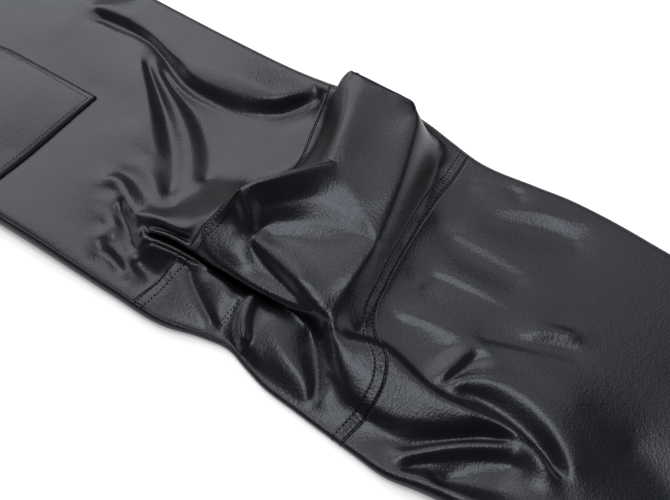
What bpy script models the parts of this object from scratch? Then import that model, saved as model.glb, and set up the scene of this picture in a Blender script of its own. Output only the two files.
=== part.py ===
"""Coated cargo trousers, laid front up in a V, with the right knee pushed up into folds.

Lengths are in millimetres until a mesh is made. X runs from the waist at -X to the hems at +X,
Z is up, and the wearer's right leg lies at -Y. The underside rests on z = 0.
A place on one half of the trousers is (s, b): s runs down the leg from the crotch and is
negative above it, and b runs across from the outseam (negative) to the inseam.
"""

import math

import bpy
import numpy as np

# Cloth
WALL = 1.2            # coated cloth of the panels
BAND_WALL = 3.0       # waistband, folded double
SEAM_GAP = 0.3        # between two pieces at a seam, and under what lies on a panel
EDGE_RADIUS = 7.0     # how the cloth rolls over at a side edge
FLAT_FRONT = 5.4      # middle of the front's wall where it lies on the back, above the floor

# Cut and layout
LEG_ANGLE = math.radians(17.0)     # each leg from the centre line
LEG_START = (10.0, -142.0)         # middle of the right thigh at crotch level
RISE = 250.0                       # crotch to waist seam
BAND_WIDTH = 40.0
LEG_LENGTH = 707.0                 # crotch to hem as laid
CROTCH_RAMP = 45.0                 # length over which the inner edge rolls up to full height
CROTCH_EASE = 1.6                  # widest part of the gap between front and back along it
FOLD_HALF_WIDTH = 128.0            # b at the top of each rolled edge

PELVIS_COLUMNS = ("s", "outer_x", "outer_y", "inner_x", "inner_y")
PELVIS_SECTIONS = (
    (-290.0, -287.0, -186.0, -276.0, 0.0),
    (-250.0, -250.0, -194.0, -238.0, 0.0),
    (-190.0, -201.0, -219.0, -176.0, 0.0),
    (-130.0, -151.0, -239.0, -106.0, 0.0),
    (-60.0, -88.0, -258.5, -24.0, 0.0),
    (0.0, -31.0, -276.0, 48.0, -1.0),
)
WIDTH_COLUMNS = ("s", "width")
LEG_WIDTHS = ((0.0, 280.0), (140.0, 270.0), (480.0, 268.0), (LEG_LENGTH, 250.0))

# How far round the outer edge the front reaches: 180 is the top of the roll, 0 the floor.
TURN_COLUMNS = ("s", "degrees")
RIGHT_TURNS = ((-290.0, 150.0), (120.0, 150.0), (240.0, 145.0), (400.0, 75.0), (707.0, 75.0))
LEFT_TURNS = ((-290.0, 150.0), (707.0, 150.0))
INSEAM_TURN = 150.0

# Rows of the back: close together where its outer edge turns down, so that it follows the front's
BACK_COLUMNS = ("from s", "to s", "cells")
PELVIS_END = 20.0
PELVIS_CELLS = 9
BACK_STRETCHES = (
    (-RISE, PELVIS_END, PELVIS_CELLS), (PELVIS_END, 60.0, 2), (60.0, 200.0, 3), (200.0, 440.0, 11),
    (440.0, LEG_LENGTH, 4),
)

# Cross seams of the legs: s at each b
SEAM_COLUMNS = ("b", "s")
UPPER_KNEE_SEAM = ((-128.0, 252.0), (-80.0, 259.0), (-30.0, 274.0), (45.0, 277.0), (128.0, 254.0))
LOWER_KNEE_SEAM = (
    (-128.0, 445.0), (-79.0, 446.0), (-49.0, 418.0), (-12.0, 407.0),
    (34.0, 401.0), (74.0, 397.0), (128.0, 393.0),
)

# Folds: each row is a crest or a hollow of the front, as places (s, b, height) along it
FOLD_COLUMNS = ("name", "places")
RIGHT_FOLDS = (
    ("far ridge", ((283, 116, 57), (298, 87, 55), (304, 67, 50), (315, 44, 42))),
    ("crest", ((315, 44, 42), (306, 22, 46), (290, 1, 50), (274, -28, 51), (260, -66, 30))),
    ("crest end", ((260, -66, 30), (224, -64, 22), (190, -60, 20), (157, -66, 15))),
    ("front ridge", ((340, 119, 54), (364, 85, 50), (381, 5, 42), (383, -29, 36), (381, -66, 27))),
    ("right hollow", ((360, 126, 14), (369, 60, 10), (385, 4, 8), (392, -40, 10))),
    ("upper bow", ((331, 27, 46), (361, 17, 46), (380, 2, 42))),
    ("face bow", ((304, -45, 42), (316, -30, 47), (337, -20, 48), (360, -11, 46), (380, -4, 42))),
    ("lower bow", ((308, -52, 41), (342, -60, 38), (368, -65, 33))),
    ("lip", ((225, -74, 16), (259, -72, 22), (292, -75, 24), (327, -73, 24), (375, -67, 26))),
    ("mouth", ((210, -84, 8), (240, -84, 7), (276, -86, 6), (308, -88, 8))),
    ("lower face ridge", ((325, -90, 22), (340, -106, 20), (352, -118, 17))),
    ("turned edge", ((268, -92, 12), (290, -104, 14), (312, -115, 14))),
    ("tip", ((352, -92, 22), (378, -106, 22), (398, -118, 16))),
    ("drop ridge", ((382, -70, 27), (398, -93, 24), (415, -120, 16))),
    ("shin ridge", ((396, -76, 24), (430, -66, 19), (460, -68, 18), (510, -74, 20), (548, -72, 14))),
    ("shin hollow", ((488, -58, 8), (522, -42, 5), (553, -53, 4), (590, -80, 4))),
    ("shin crest", ((484, -52, 18), (505, -32, 22), (535, -30, 22), (560, -42, 20), (592, -62, 16))),
    ("shin middle", ((422, -33, 12), (449, -24, 14), (484, -18, 15), (518, -9, 15), (560, 4, 13))),
    ("shin upper hollow", ((424, 15, 8), (475, 26, 6), (540, 36, 6))),
    ("shin low crest", ((476, -122, 13), (492, -112, 16), (515, -95, 18), (549, -78, 14))),
    ("inner thigh ridge", ((10, 91, 14), (88, 89, 17), (189, 85, 18), (253, 114, 16))),
    ("inner thigh hollow", ((40, 94, 5), (95, 84, 4), (150, 72, 4), (210, 84, 5))),
    ("middle thigh ridge", ((20, 74, 14), (83, 72, 18), (155, 50, 18), (192, 49, 17), (245, 90, 14))),
    ("middle thigh hollow", ((110, 44, 7), (156, 38, 6), (196, 12, 6), (214, -29, 7))),
    ("outer thigh ridge", ((73, 66, 16), (120, 46, 17), (160, 28, 16), (192, -5, 14), (213, -50, 12))),
    ("thigh side hollow", ((120, -10, 7), (165, -40, 7), (240, -20, 8))),
    ("thigh side ridge", ((160, -84, 12), (195, -95, 13), (240, -112, 13))),
    ("crotch fold", ((-30, 104, 7), (5, 70, 11), (30, 20, 9))),
    ("hip fold", ((-90, -20, 7), (-60, -60, 11), (-10, -100, 13))),
    ("shin end fold", ((600, 40, 10), (650, 10, 13), (690, -30, 11))),
    ("shin end hollow", ((590, -20, 6), (640, -50, 5), (690, -80, 6))),
)
LEFT_FOLDS = (
    ("knee crest", ((258, 96, 20), (282, 50, 30), (300, 0, 33), (292, -50, 26), (280, -100, 18))),
    ("knee hollow", ((300, 110, 10), (322, 50, 12), (334, -10, 13), (330, -80, 9))),
    ("knee lower crest", ((330, 116, 16), (352, 60, 24), (372, 5, 27), (366, -60, 22), (356, -112, 15))),
    ("below the knee", ((372, 90, 9), (398, 20, 8), (410, -40, 8))),
    ("shin ridge", ((430, 84, 14), (478, 52, 17), (530, 44, 16), (585, 66, 13))),
    ("shin hollow", ((440, 20, 6), (500, 0, 5), (560, 12, 5))),
    ("shin side ridge", ((450, -40, 14), (505, -66, 16), (560, -60, 14), (610, -86, 12))),
    ("thigh ridge", ((20, 66, 14), (80, 40, 17), (150, 42, 16), (215, 76, 14))),
    ("thigh hollow", ((60, 90, 6), (120, 78, 5), (190, 100, 7))),
    ("thigh side hollow", ((60, -10, 6), (130, -30, 5), (200, -14, 7))),
    ("thigh side ridge", ((130, -60, 13), (180, -84, 14), (235, -80, 13))),
    ("crotch fold", ((-28, 100, 7), (8, 62, 11), (40, 8, 9))),
    ("hip fold", ((-100, -10, 7), (-66, -50, 10), (-12, -88, 12))),
    ("shin end fold", ((600, -20, 8), (650, 20, 12), (690, 30, 10))),
)
FOLD_STEP = 8.0         # grid on which the folds are worked out
BENDING = 0.8           # stiffness of the cloth against its tension, in grid steps
REST_HEIGHT = 9.0       # where the front floats between folds
REST_PULL = 0.004
FOLD_PULL = 40.0

# Cargo pockets, in cells of the thigh's own grid
POCKET_STATIONS = (-100.0, 84.0)
POCKET_WALL = 1.6
POCKET_FULLNESS = 9.0   # how far the middle of the pocket stands off the leg
FLAP_STATIONS = (-116.0, -48.0)
FLAP_WALL = 2.2

LOOP_PLACES = (0.36, 0.74)   # of the way from the outseam to the centre
LOOP_WALL = 2.0
BUTTON_RADIUS = 8.5
BUTTON_HEIGHT = 3.0
BUTTON_FROM_EDGE = 16.0

CLOTH_LOOK = ((0.022, 0.022, 0.026, 1.0), 0.38, 0.0)      # colour, roughness, metallic
METAL_LOOK = ((0.10, 0.10, 0.11, 1.0), 0.30, 1.0)


def clear_scene():
    for obj in list(bpy.data.objects):
        bpy.data.objects.remove(obj, do_unlink=True)


def ramp(x, start, end):
    """0 before start, 1 after end, with a soft turn between them."""
    t = np.clip((np.asarray(x, float) - start) / (end - start), 0.0, 1.0)
    return t * t * (3.0 - 2.0 * t)


def smooth_through(table, at):
    """The table's later columns at the given values of its first one, as a smooth curve."""
    rows = np.array(table, float)
    knots = rows[:, 0]
    slopes = np.gradient(rows[:, 1:], knots, axis=0)
    at = np.clip(np.asarray(at, float), knots[0], knots[-1])
    k = np.clip(np.searchsorted(knots, at, side="right") - 1, 0, len(knots) - 2)
    span = knots[k + 1] - knots[k]
    t = ((at - knots[k]) / span)[..., None]
    span = span[..., None]
    low, high = rows[k, 1:], rows[k + 1, 1:]
    return (
        (2 * t**3 - 3 * t**2 + 1) * low
        + (t**3 - 2 * t**2 + t) * span * slopes[k]
        + (3 * t**2 - 2 * t**3) * high
        + (t**3 - t**2) * span * slopes[k + 1]
    )


def leg_place(s, across):
    """World (x, y) of a place on the right leg, from its station and its distance off the middle."""
    x = LEG_START[0] + s * math.cos(LEG_ANGLE) + across * math.sin(LEG_ANGLE)
    y = LEG_START[1] - s * math.sin(LEG_ANGLE) + across * math.cos(LEG_ANGLE)
    return np.stack([x, y], axis=-1)


def edge_places(s):
    """The outer and the inner edge of the right half at each station."""
    half = smooth_through(LEG_WIDTHS, s)[..., 0] / 2
    pelvis = smooth_through(PELVIS_SECTIONS, s)
    on_leg = (np.asarray(s) > 0.0)[..., None]
    outer = np.where(on_leg, leg_place(s, -half), pelvis[..., 0:2])
    inner = np.where(on_leg, leg_place(s, half), pelvis[..., 2:4])
    return outer, inner


def laplacian(field):
    padded = np.pad(field, 1, mode="edge")
    return (
        padded[2:, 1:-1] + padded[:-2, 1:-1] + padded[1:-1, 2:] + padded[1:-1, :-2] - 4 * field
    )


class Folds:
    """Height of the front's middle surface, drawn like a stretched stiff sheet over the fold rows."""

    def __init__(self, rows, turns):
        self.turns = turns
        self.start = -RISE - BAND_WIDTH
        self.count_s = int(round((LEG_LENGTH - self.start) / FOLD_STEP)) + 1
        self.count_b = int(round(2 * FOLD_HALF_WIDTH / FOLD_STEP)) + 1
        shape = (self.count_s, self.count_b)
        pull = np.full(shape, REST_PULL)
        pulled_to = np.full(shape, REST_PULL * REST_HEIGHT)
        for _, places in rows:
            self.add_row(places, pull, pulled_to)
        self.pin_borders(pull, pulled_to)
        self.height = self.relax(pull, pulled_to)

    def add_row(self, places, pull, pulled_to):
        places = np.array(places, float)
        along = np.arange(len(places), dtype=float)
        finer = np.linspace(0, len(places) - 1, 24 * len(places))
        table = np.column_stack([along, places])
        line = smooth_through(table, finer)
        i = np.rint((line[:, 0] - self.start) / FOLD_STEP).astype(int)
        j = np.rint((line[:, 1] + FOLD_HALF_WIDTH) / FOLD_STEP).astype(int)
        inside = (i >= 0) & (i < self.count_s) & (j >= 0) & (j < self.count_b)
        share = FOLD_PULL * len(places) / len(finer)
        np.add.at(pull, (i[inside], j[inside]), share)
        np.add.at(pulled_to, (i[inside], j[inside]), share * line[inside, 2])

    def pin_borders(self, pull, pulled_to):
        s = self.start + FOLD_STEP * np.arange(self.count_s)
        rolled = WALL / 2 + 2 * EDGE_RADIUS
        firm = 1000.0
        pull[:, 0] = firm
        pulled_to[:, 0] = firm * rolled
        pull[:, -1] = firm
        inner = FLAT_FRONT + (rolled - FLAT_FRONT) * ramp(s, 0.0, CROTCH_RAMP)
        pulled_to[:, -1] = firm * inner
        waist = s < -RISE + 30.0
        pull[waist, 2:] = firm
        pulled_to[waist, 2:] = firm * FLAT_FRONT

    def relax(self, pull, pulled_to):
        """Conjugate gradients on tension, bending and the pulls."""

        def forces(field):
            bend = laplacian(field)
            return BENDING * laplacian(bend) - bend + pull * field

        field = np.full(pull.shape, REST_HEIGHT)
        scale = 1.0 / (4 + 20 * BENDING + pull)
        left = pulled_to - forces(field)
        push = scale * left
        step_dir = push
        size = np.sum(left * push)
        for _ in range(900):
            change = forces(step_dir)
            amount = size / np.sum(step_dir * change)
            field = field + amount * step_dir
            left = left - amount * change
            push = scale * left
            new_size = np.sum(left * push)
            if new_size < 1e-9:
                break
            step_dir = push + (new_size / size) * step_dir
            size = new_size
        return np.maximum(field, WALL * 1.5 + SEAM_GAP + 0.6)

    def at(self, s, b):
        i = np.clip((s - self.start) / FOLD_STEP, 0, self.count_s - 1.001)
        j = np.clip((b + FOLD_HALF_WIDTH) / FOLD_STEP, 0, self.count_b - 1.001)
        i0 = i.astype(int)
        j0 = j.astype(int)
        di = i - i0
        dj = j - j0
        h = self.height
        return (
            h[i0, j0] * (1 - di) * (1 - dj)
            + h[i0 + 1, j0] * di * (1 - dj)
            + h[i0, j0 + 1] * (1 - di) * dj
            + h[i0 + 1, j0 + 1] * di * dj
        )


ROLL_SHARE = 0.1        # part of the across-parameter w that each rolled edge of the front takes
BACK_ROLL_SHARE = 0.25  # the same for the back, which rolls further


def rolled_edge(angle, wall):
    """How far in from the edge, and how high, the cloth is at an angle of the roll (0 at the floor)."""
    inward = EDGE_RADIUS * (1 - np.sin(angle))
    height = wall / 2 + EDGE_RADIUS * (1 - np.cos(angle))
    return inward, height


def front_place(folds, s, w, wall):
    """Middle surface of the right front. w runs from the outseam (0) to the inseam or centre (1)."""
    outer, inner = edge_places(s)
    span = np.linalg.norm(inner - outer, axis=-1)
    across = (inner - outer) / span[..., None]
    gap_angle = SEAM_GAP / 2 / EDGE_RADIUS
    outseam = np.radians(smooth_through(folds.turns, s)[..., 0]) + gap_angle
    inseam = math.radians(INSEAM_TURN) + gap_angle
    roll_out = np.clip(w / ROLL_SHARE, 0, 1)
    roll_in = np.clip((1 - w) / ROLL_SHARE, 0, 1)
    middle = np.clip((w - ROLL_SHARE) / (1 - 2 * ROLL_SHARE), 0, 1)

    out_in, out_up = rolled_edge(outseam + (math.pi - outseam) * roll_out, wall)
    in_in, in_up = rolled_edge(inseam + (math.pi - inseam) * roll_in, wall)
    full = ramp(s, 0.0, CROTCH_RAMP)
    flat_in = EDGE_RADIUS * roll_in + SEAM_GAP / 2
    in_in = full * in_in + (1 - full) * flat_in + CROTCH_EASE * 4 * full * (1 - full)

    top_up = folds.at(s, FOLD_HALF_WIDTH * (2 * middle - 1)) + (wall - WALL) / 2
    edge_up = FLAT_FRONT + (wall - WALL) / 2
    in_up = full * in_up + (1 - full) * edge_up
    distance = np.where(
        w < ROLL_SHARE,
        out_in,
        np.where(w > 1 - ROLL_SHARE, span - in_in, EDGE_RADIUS + (span - 2 * EDGE_RADIUS) * middle),
    )
    height = np.where(w < ROLL_SHARE, out_up, np.where(w > 1 - ROLL_SHARE, in_up, top_up))
    flat = outer + across * distance[..., None]
    return np.concatenate([flat, height[..., None]], axis=-1)


def back_place(folds, s, w, wall):
    """Middle surface of the right back, which lies on the floor and rolls up at its edges."""
    outer, inner = edge_places(s)
    span = np.linalg.norm(inner - outer, axis=-1)
    across = (inner - outer) / span[..., None]
    gap_angle = SEAM_GAP / 2 / EDGE_RADIUS
    outseam = np.radians(smooth_through(folds.turns, s)[..., 0]) - gap_angle
    inseam = math.radians(INSEAM_TURN) - gap_angle
    share = BACK_ROLL_SHARE
    roll_out = np.clip(1 - w / share, 0, 1)
    roll_in = np.clip(1 - (1 - w) / share, 0, 1)
    middle = np.clip((w - share) / (1 - 2 * share), 0, 1)

    out_in, out_up = rolled_edge(outseam * roll_out, wall)
    in_in, in_up = rolled_edge(inseam * roll_in, wall)
    full = ramp(s, 0.0, CROTCH_RAMP)
    in_in = full * in_in + (1 - full) * (EDGE_RADIUS * (1 - roll_in) + SEAM_GAP / 2)
    in_up = full * in_up + (1 - full) * wall / 2
    distance = np.where(
        w < share,
        out_in,
        np.where(w > 1 - share, span - in_in, EDGE_RADIUS + (span - 2 * EDGE_RADIUS) * middle),
    )
    height = np.where(w < share, out_up, np.where(w > 1 - share, in_up, wall / 2))
    flat = outer + across * distance[..., None]
    return np.concatenate([flat, height[..., None]], axis=-1)


def surface_grid(place, folds, s, w, wall):
    """Points of a panel on its grid and the upward direction at each, from small steps each way."""
    s, w = np.broadcast_arrays(s, w)
    points = place(folds, s, w, wall)
    step_s = 0.5
    step_w = 0.004
    along = place(folds, s + step_s, w, wall) - place(folds, s - step_s, w, wall)
    low = np.clip(w - step_w, 0, 1)
    high = np.clip(w + step_w, 0, 1)
    over = place(folds, s, high, wall) - place(folds, s, low, wall)
    normal = np.cross(along, over)
    normal /= np.linalg.norm(normal, axis=-1)[..., None]
    return points, normal


def across_values(count, roll_share, roll_cells):
    """w for each column: the rolled edges get their own cells and the flat the rest."""
    return np.concatenate([
        np.linspace(0, roll_share, roll_cells + 1)[:-1],
        np.linspace(roll_share, 1 - roll_share, count + 1),
        np.linspace(1 - roll_share, 1, roll_cells + 1)[1:],
    ])


def stations_between(first, last, w, count):
    """s on each cell corner from one cross seam to the next; each seam is a number or a table."""
    b = FOLD_HALF_WIDTH * np.clip((2 * w - 1) / (1 - 2 * ROLL_SHARE), -1, 1)

    def seam(line):
        if isinstance(line, tuple):
            return smooth_through(line, b)[..., 0]
        return np.full(w.shape, float(line))

    part = np.linspace(0, 1, count + 1)[:, None]
    start = seam(first)[None, :] + SEAM_GAP / 2
    end = seam(last)[None, :] - SEAM_GAP / 2
    return start + (end - start) * part


def material(name, look):
    made = bpy.data.materials.new(name)
    made.use_nodes = True
    shader = made.node_tree.nodes["Principled BSDF"]
    shader.inputs["Base Color"].default_value = look[0]
    shader.inputs["Roughness"].default_value = look[1]
    shader.inputs["Metallic"].default_value = look[2]
    return made


def middle_x():
    """Half way between the waist and the furthest corner of a hem."""
    waist = PELVIS_SECTIONS[0][1]
    corner = edge_places(np.array([LEG_LENGTH]))[1][0, 0]
    return (waist + corner) / 2


def add_object(name, points, faces, look, left):
    points = np.array(points, float).reshape(-1, 3)
    points[:, 0] -= middle_x()
    if left:
        points[:, 1] *= -1
        faces = [tuple(reversed(face)) for face in faces]
    mesh = bpy.data.meshes.new(name)
    mesh.from_pydata((points / 1000.0).tolist(), [], faces)
    mesh.validate()
    mesh.shade_smooth()
    mesh.set_sharp_from_angle(angle=math.radians(50))
    mesh.materials.append(material(name, look))
    bpy.context.scene.collection.objects.link(bpy.data.objects.new(name, mesh))


def wall_faces(rows, columns):
    """Triangles of a closed wall whose upper points come first, then its lower ones, row by row."""
    faces = []
    count = rows * columns

    def corner(i, j, lower):
        return i * columns + j + (count if lower else 0)

    for i in range(rows - 1):
        for j in range(columns - 1):
            a, b, c, d = (corner(i, j, 0), corner(i + 1, j, 0), corner(i + 1, j + 1, 0), corner(i, j + 1, 0))
            faces += [(a, b, c), (a, c, d)]
            faces += [(c + count, b + count, a + count), (d + count, c + count, a + count)]
    rim = [(i, 0) for i in range(rows)] + [(rows - 1, j) for j in range(1, columns)]
    rim += [(i, columns - 1) for i in range(rows - 2, -1, -1)] + [(0, j) for j in range(columns - 2, 0, -1)]
    for (i, j), (k, m) in zip(rim, rim[1:] + rim[:1]):
        a, b = corner(i, j, 0), corner(k, m, 0)
        faces += [(b, a, a + count), (b, a + count, b + count)]
    return faces


def add_wall(name, points, normals, wall, look, left):
    """A closed wall of even thickness about a grid of points."""
    upper = points + normals * wall / 2
    lower = points - normals * wall / 2
    both = np.concatenate([upper.reshape(-1, 3), lower.reshape(-1, 3)])
    add_object(name, both, wall_faces(*points.shape[:2]), look, left)


def add_panel(name, place, folds, s, w, wall, left):
    points, normals = surface_grid(place, folds, s, w[None, :], wall)
    add_wall(name, points, normals, wall, CLOTH_LOOK, left)
    return points, normals


def lifted(points, normals, under, wall):
    """The same grid, moved out so that a wall of this thickness clears the one under it."""
    return points + normals * (under / 2 + SEAM_GAP + wall / 2)


def add_cargo_pocket(side, s, points, normals, pocket_columns, left):
    """A pocket full in the middle and close to the leg all round, and its flap lying on it."""
    station = s[:, 0]
    first, last = (int(np.argmin(abs(station - at))) for at in POCKET_STATIONS)
    rows = slice(first, last + 1)
    columns = slice(pocket_columns[0], pocket_columns[1] + 1)
    base = lifted(points[rows, columns], normals[rows, columns], WALL, POCKET_WALL)
    up = normals[rows, columns]
    i = np.linspace(0, 1, base.shape[0])[:, None]
    j = np.linspace(0, 1, base.shape[1])[None, :]
    fullness = POCKET_FULLNESS * (np.sin(math.pi * i) * np.sin(math.pi * j)) ** 0.6
    pocket = base + up * fullness[..., None]
    add_wall(f"cargo_pocket_{side}", pocket, up, POCKET_WALL, CLOTH_LOOK, left)
    flap_first, flap_last = (int(np.argmin(abs(station - at))) for at in FLAP_STATIONS)
    flap_rows = slice(flap_first, flap_last + 1)
    flap_base = points[flap_rows, columns] + normals[flap_rows, columns] * (
        WALL / 2 + SEAM_GAP + POCKET_WALL + SEAM_GAP + FLAP_WALL / 2
    )
    over = np.zeros(flap_base.shape[:2])
    shared = first - flap_first
    over[shared:, :] = fullness[: over.shape[0] - shared, :]
    flap_up = normals[flap_rows, columns]
    flap = flap_base + flap_up * (over + 0.6)[..., None]
    add_wall(f"cargo_flap_{side}", flap, flap_up, FLAP_WALL, CLOTH_LOOK, left)


def add_waistband(side, folds, w, back_w, first_loop, left):
    """Front and back of the band on this side, with two belt loops lying on the front."""
    s = stations_between(-RISE - BAND_WIDTH, -RISE, w, 2)
    points, normals = add_panel(f"waistband_front_{side}", front_place, folds, s, w, BAND_WALL, left)
    for number, place in enumerate(LOOP_PLACES, first_loop):
        column = int(place * (len(w) - 1))
        cell = slice(column, column + 2)
        loop = lifted(points[:, cell], normals[:, cell], BAND_WALL, LOOP_WALL)
        add_wall(f"belt_loop_{number}", loop, normals[:, cell], LOOP_WALL, CLOTH_LOOK, left)
    s = stations_between(-RISE - BAND_WIDTH, -RISE, back_w, 2)
    add_panel(f"waistband_back_{side}", back_place, folds, s, back_w, BAND_WALL, left)


def add_waist_button():
    """A flat metal button with a rounded rim, lying on the left end of the waistband."""
    centre_x = (PELVIS_SECTIONS[0][3] + PELVIS_SECTIONS[1][3]) / 2 - middle_x()
    floor = FLAT_FRONT + BAND_WALL - WALL / 2 + SEAM_GAP
    profile = ((BUTTON_RADIUS - 0.6, 0.0), (BUTTON_RADIUS, 0.8), (BUTTON_RADIUS, 2.0), (BUTTON_RADIUS - 1.0, 3.0))
    sides = 24
    points = [(0.0, 0.0, 0.0)]
    for radius, height in profile:
        for k in range(sides):
            turn = 2 * math.pi * k / sides
            points.append((radius * math.cos(turn), radius * math.sin(turn), height))
    points.append((0.0, 0.0, BUTTON_HEIGHT))
    faces = []
    for k in range(sides):
        n = (k + 1) % sides
        faces.append((0, 1 + n, 1 + k))
        for ring in range(len(profile) - 1):
            a = 1 + ring * sides
            faces.append((a + k, a + n, a + sides + n, a + sides + k))
        top = 1 + (len(profile) - 1) * sides
        faces.append((top + k, top + n, len(points) - 1))
    placed = np.array(points) + (centre_x + middle_x(), BUTTON_FROM_EDGE, floor)
    add_object("waist_button", placed, faces, METAL_LOOK, False)


def add_half(side, folds, left, cells, roll_cells, pocket_columns, spacing):
    """All the pieces of one leg and its half of the seat."""
    w = across_values(cells, ROLL_SHARE, roll_cells)
    thigh_rows, knee_rows, shin_rows = spacing
    pelvis = stations_between(-RISE, PELVIS_END + SEAM_GAP / 2, w, PELVIS_CELLS)
    thigh = stations_between(PELVIS_END - SEAM_GAP / 2, UPPER_KNEE_SEAM, w, thigh_rows)
    s = np.concatenate([pelvis, thigh[1:]])
    points, normals = add_panel(f"front_thigh_{side}", front_place, folds, s, w, WALL, left)
    add_cargo_pocket(side, s, points, normals, pocket_columns, left)
    s = stations_between(UPPER_KNEE_SEAM, LOWER_KNEE_SEAM, w, knee_rows)
    add_panel(f"front_knee_{side}", front_place, folds, s, w, WALL, left)
    s = stations_between(LOWER_KNEE_SEAM, LEG_LENGTH, w, shin_rows)
    add_panel(f"front_shin_{side}", front_place, folds, s, w, WALL, left)

    back_w = across_values(1, BACK_ROLL_SHARE, 4)
    s = np.concatenate([
        stations_between(start, end, back_w, count)[(0 if start == -RISE else 1):]
        for start, end, count in BACK_STRETCHES
    ])
    add_panel(f"back_{side}", back_place, folds, s, back_w, WALL, left)
    add_waistband(side, folds, w, back_w, 3 if left else 1, left)


clear_scene()
add_half("right", Folds(RIGHT_FOLDS, RIGHT_TURNS), False, 15, 2, (2, 10), (12, 13, 12))
add_half("left", Folds(LEFT_FOLDS, LEFT_TURNS), True, 11, 1, (1, 7), (9, 8, 9))
add_waist_button()
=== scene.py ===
"""Black coated cargo trousers laid on a pale floor, seen close to the bunched right knee.

Sizes are in millimetres until a mesh is made. A place on one half of the trousers is (s, b):
s runs down the leg from the crotch, negative above it, and b from the outseam (negative) to the
inseam. The right leg lies at -Y. The left is built on the same side and then mirrored.
"""

import math

import bpy
import numpy as np
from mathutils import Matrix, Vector


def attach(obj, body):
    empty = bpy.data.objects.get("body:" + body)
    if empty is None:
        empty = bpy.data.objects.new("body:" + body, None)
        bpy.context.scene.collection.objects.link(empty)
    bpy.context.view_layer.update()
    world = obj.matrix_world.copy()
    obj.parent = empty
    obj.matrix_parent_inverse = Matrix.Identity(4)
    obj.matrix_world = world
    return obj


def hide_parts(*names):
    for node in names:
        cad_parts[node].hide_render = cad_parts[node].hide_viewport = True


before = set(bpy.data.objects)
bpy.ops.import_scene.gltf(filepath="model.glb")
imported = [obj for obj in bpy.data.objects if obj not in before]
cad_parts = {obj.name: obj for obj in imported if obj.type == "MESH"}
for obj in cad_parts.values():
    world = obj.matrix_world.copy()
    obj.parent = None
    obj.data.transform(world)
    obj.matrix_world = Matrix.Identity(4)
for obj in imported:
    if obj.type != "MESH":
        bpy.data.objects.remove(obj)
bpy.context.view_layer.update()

MM = 0.001

# ---------------------------------------------------------------- sizes, as in the frame but for the gap
WALL = 1.2
BAND_WALL = 3.0
SEAM_GAP = 0.1           # the pieces are drawn closer together than in the frame
EDGE_RADIUS = 7.0
FLAT_FRONT = 5.4

LEG_ANGLE = math.radians(17.0)
LEG_START = (10.0, -142.0)
RISE = 250.0
BAND_WIDTH = 40.0
LEG_LENGTH = 707.0
CROTCH_RAMP = 45.0
FOLD_HALF_WIDTH = 128.0

# s, outer x, outer y, inner x, inner y
PELVIS_SECTIONS = (
    (-290.0, -287.0, -186.0, -276.0, 0.0),
    (-250.0, -250.0, -194.0, -238.0, 0.0),
    (-190.0, -201.0, -219.0, -176.0, 0.0),
    (-130.0, -151.0, -239.0, -106.0, 0.0),
    (-60.0, -88.0, -258.5, -24.0, 0.0),
    (0.0, -31.0, -276.0, 48.0, -1.0),
)
# s, half width to the outseam, half width to the inseam, radius of the outer and inner rolled edge
RIGHT_OUTLINE = (
    (0.0, 140.0, 140.0, 7.0, 7.0),
    (68.0, 137.0, 137.0, 7.0, 7.0),
    (140.0, 136.0, 135.0, 7.0, 7.0),
    (230.0, 136.0, 135.0, 5.0, 8.0),
    (280.0, 135.0, 137.0, 4.5, 12.0),
    (312.0, 126.0, 140.0, 3.5, 14.0),
    (334.0, 123.0, 141.0, 2.8, 13.0),
    (352.0, 128.0, 141.0, 2.5, 10.0),
    (371.0, 133.0, 138.0, 2.5, 8.0),
    (402.0, 136.0, 132.0, 2.5, 7.0),
    (452.0, 140.0, 135.0, 3.0, 7.0),
    (482.0, 142.0, 138.0, 4.0, 7.0),
    (506.0, 138.0, 138.0, 5.5, 7.0),
    (580.0, 132.0, 132.0, 7.0, 7.0),
    (LEG_LENGTH, 125.0, 125.0, 7.0, 7.0),
)
LEFT_OUTLINE = (
    (0.0, 140.0, 140.0, 7.0, 7.0),
    (140.0, 135.0, 135.0, 7.0, 7.0),
    (270.0, 132.0, 134.0, 7.0, 9.0),
    (330.0, 136.0, 137.0, 9.0, 11.0),
    (400.0, 133.0, 134.0, 7.0, 7.0),
    (480.0, 134.0, 134.0, 7.0, 7.0),
    (LEG_LENGTH, 125.0, 125.0, 7.0, 7.0),
)
# s, degrees round the outer roll at which front and back meet: 180 is its top
RIGHT_TURNS = (
    (-290.0, 150.0), (120.0, 150.0), (300.0, 150.0), (330.0, 135.0), (352.0, 80.0), (380.0, 60.0),
    (LEG_LENGTH, 75.0),
)
LEFT_TURNS = ((-290.0, 150.0), (LEG_LENGTH, 150.0))
INSEAM_TURN = 150.0

# b, s
UPPER_KNEE_SEAM = (
    (-128.0, 252.0), (-105.0, 255.0), (-80.0, 259.0), (-55.0, 264.0), (-28.0, 271.0), (10.0, 276.0),
    (45.0, 277.0), (84.0, 267.0), (128.0, 254.0),
)
LOWER_KNEE_SEAM = (
    (-128.0, 445.0), (-100.0, 449.0), (-79.0, 446.0), (-65.0, 438.0), (-49.0, 418.0), (-12.0, 407.0),
    (34.0, 401.0), (74.0, 397.0), (128.0, 393.0),
)
# b, s of the short seam across the lower knee, and the w between which it runs
KNEE_DART = ((-124.0, 318.0), (-112.0, 320.0), (-100.0, 322.0), (-90.0, 324.0), (-80.0, 326.0))
DART_SPAN = (0.112, 0.25)
DART_ROW = 1.3           # of each stitched row from the dart's line
SEAT_END = 60.0          # the mesh is coarser above this

# shares of a panel's width that go to each rolled edge
ROLL_SHARE = 0.1
BACK_ROLL_SHARE = 0.25
CLOTH_WIDTH = 270.0      # what a whole step of w is taken for along the cloth

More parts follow.
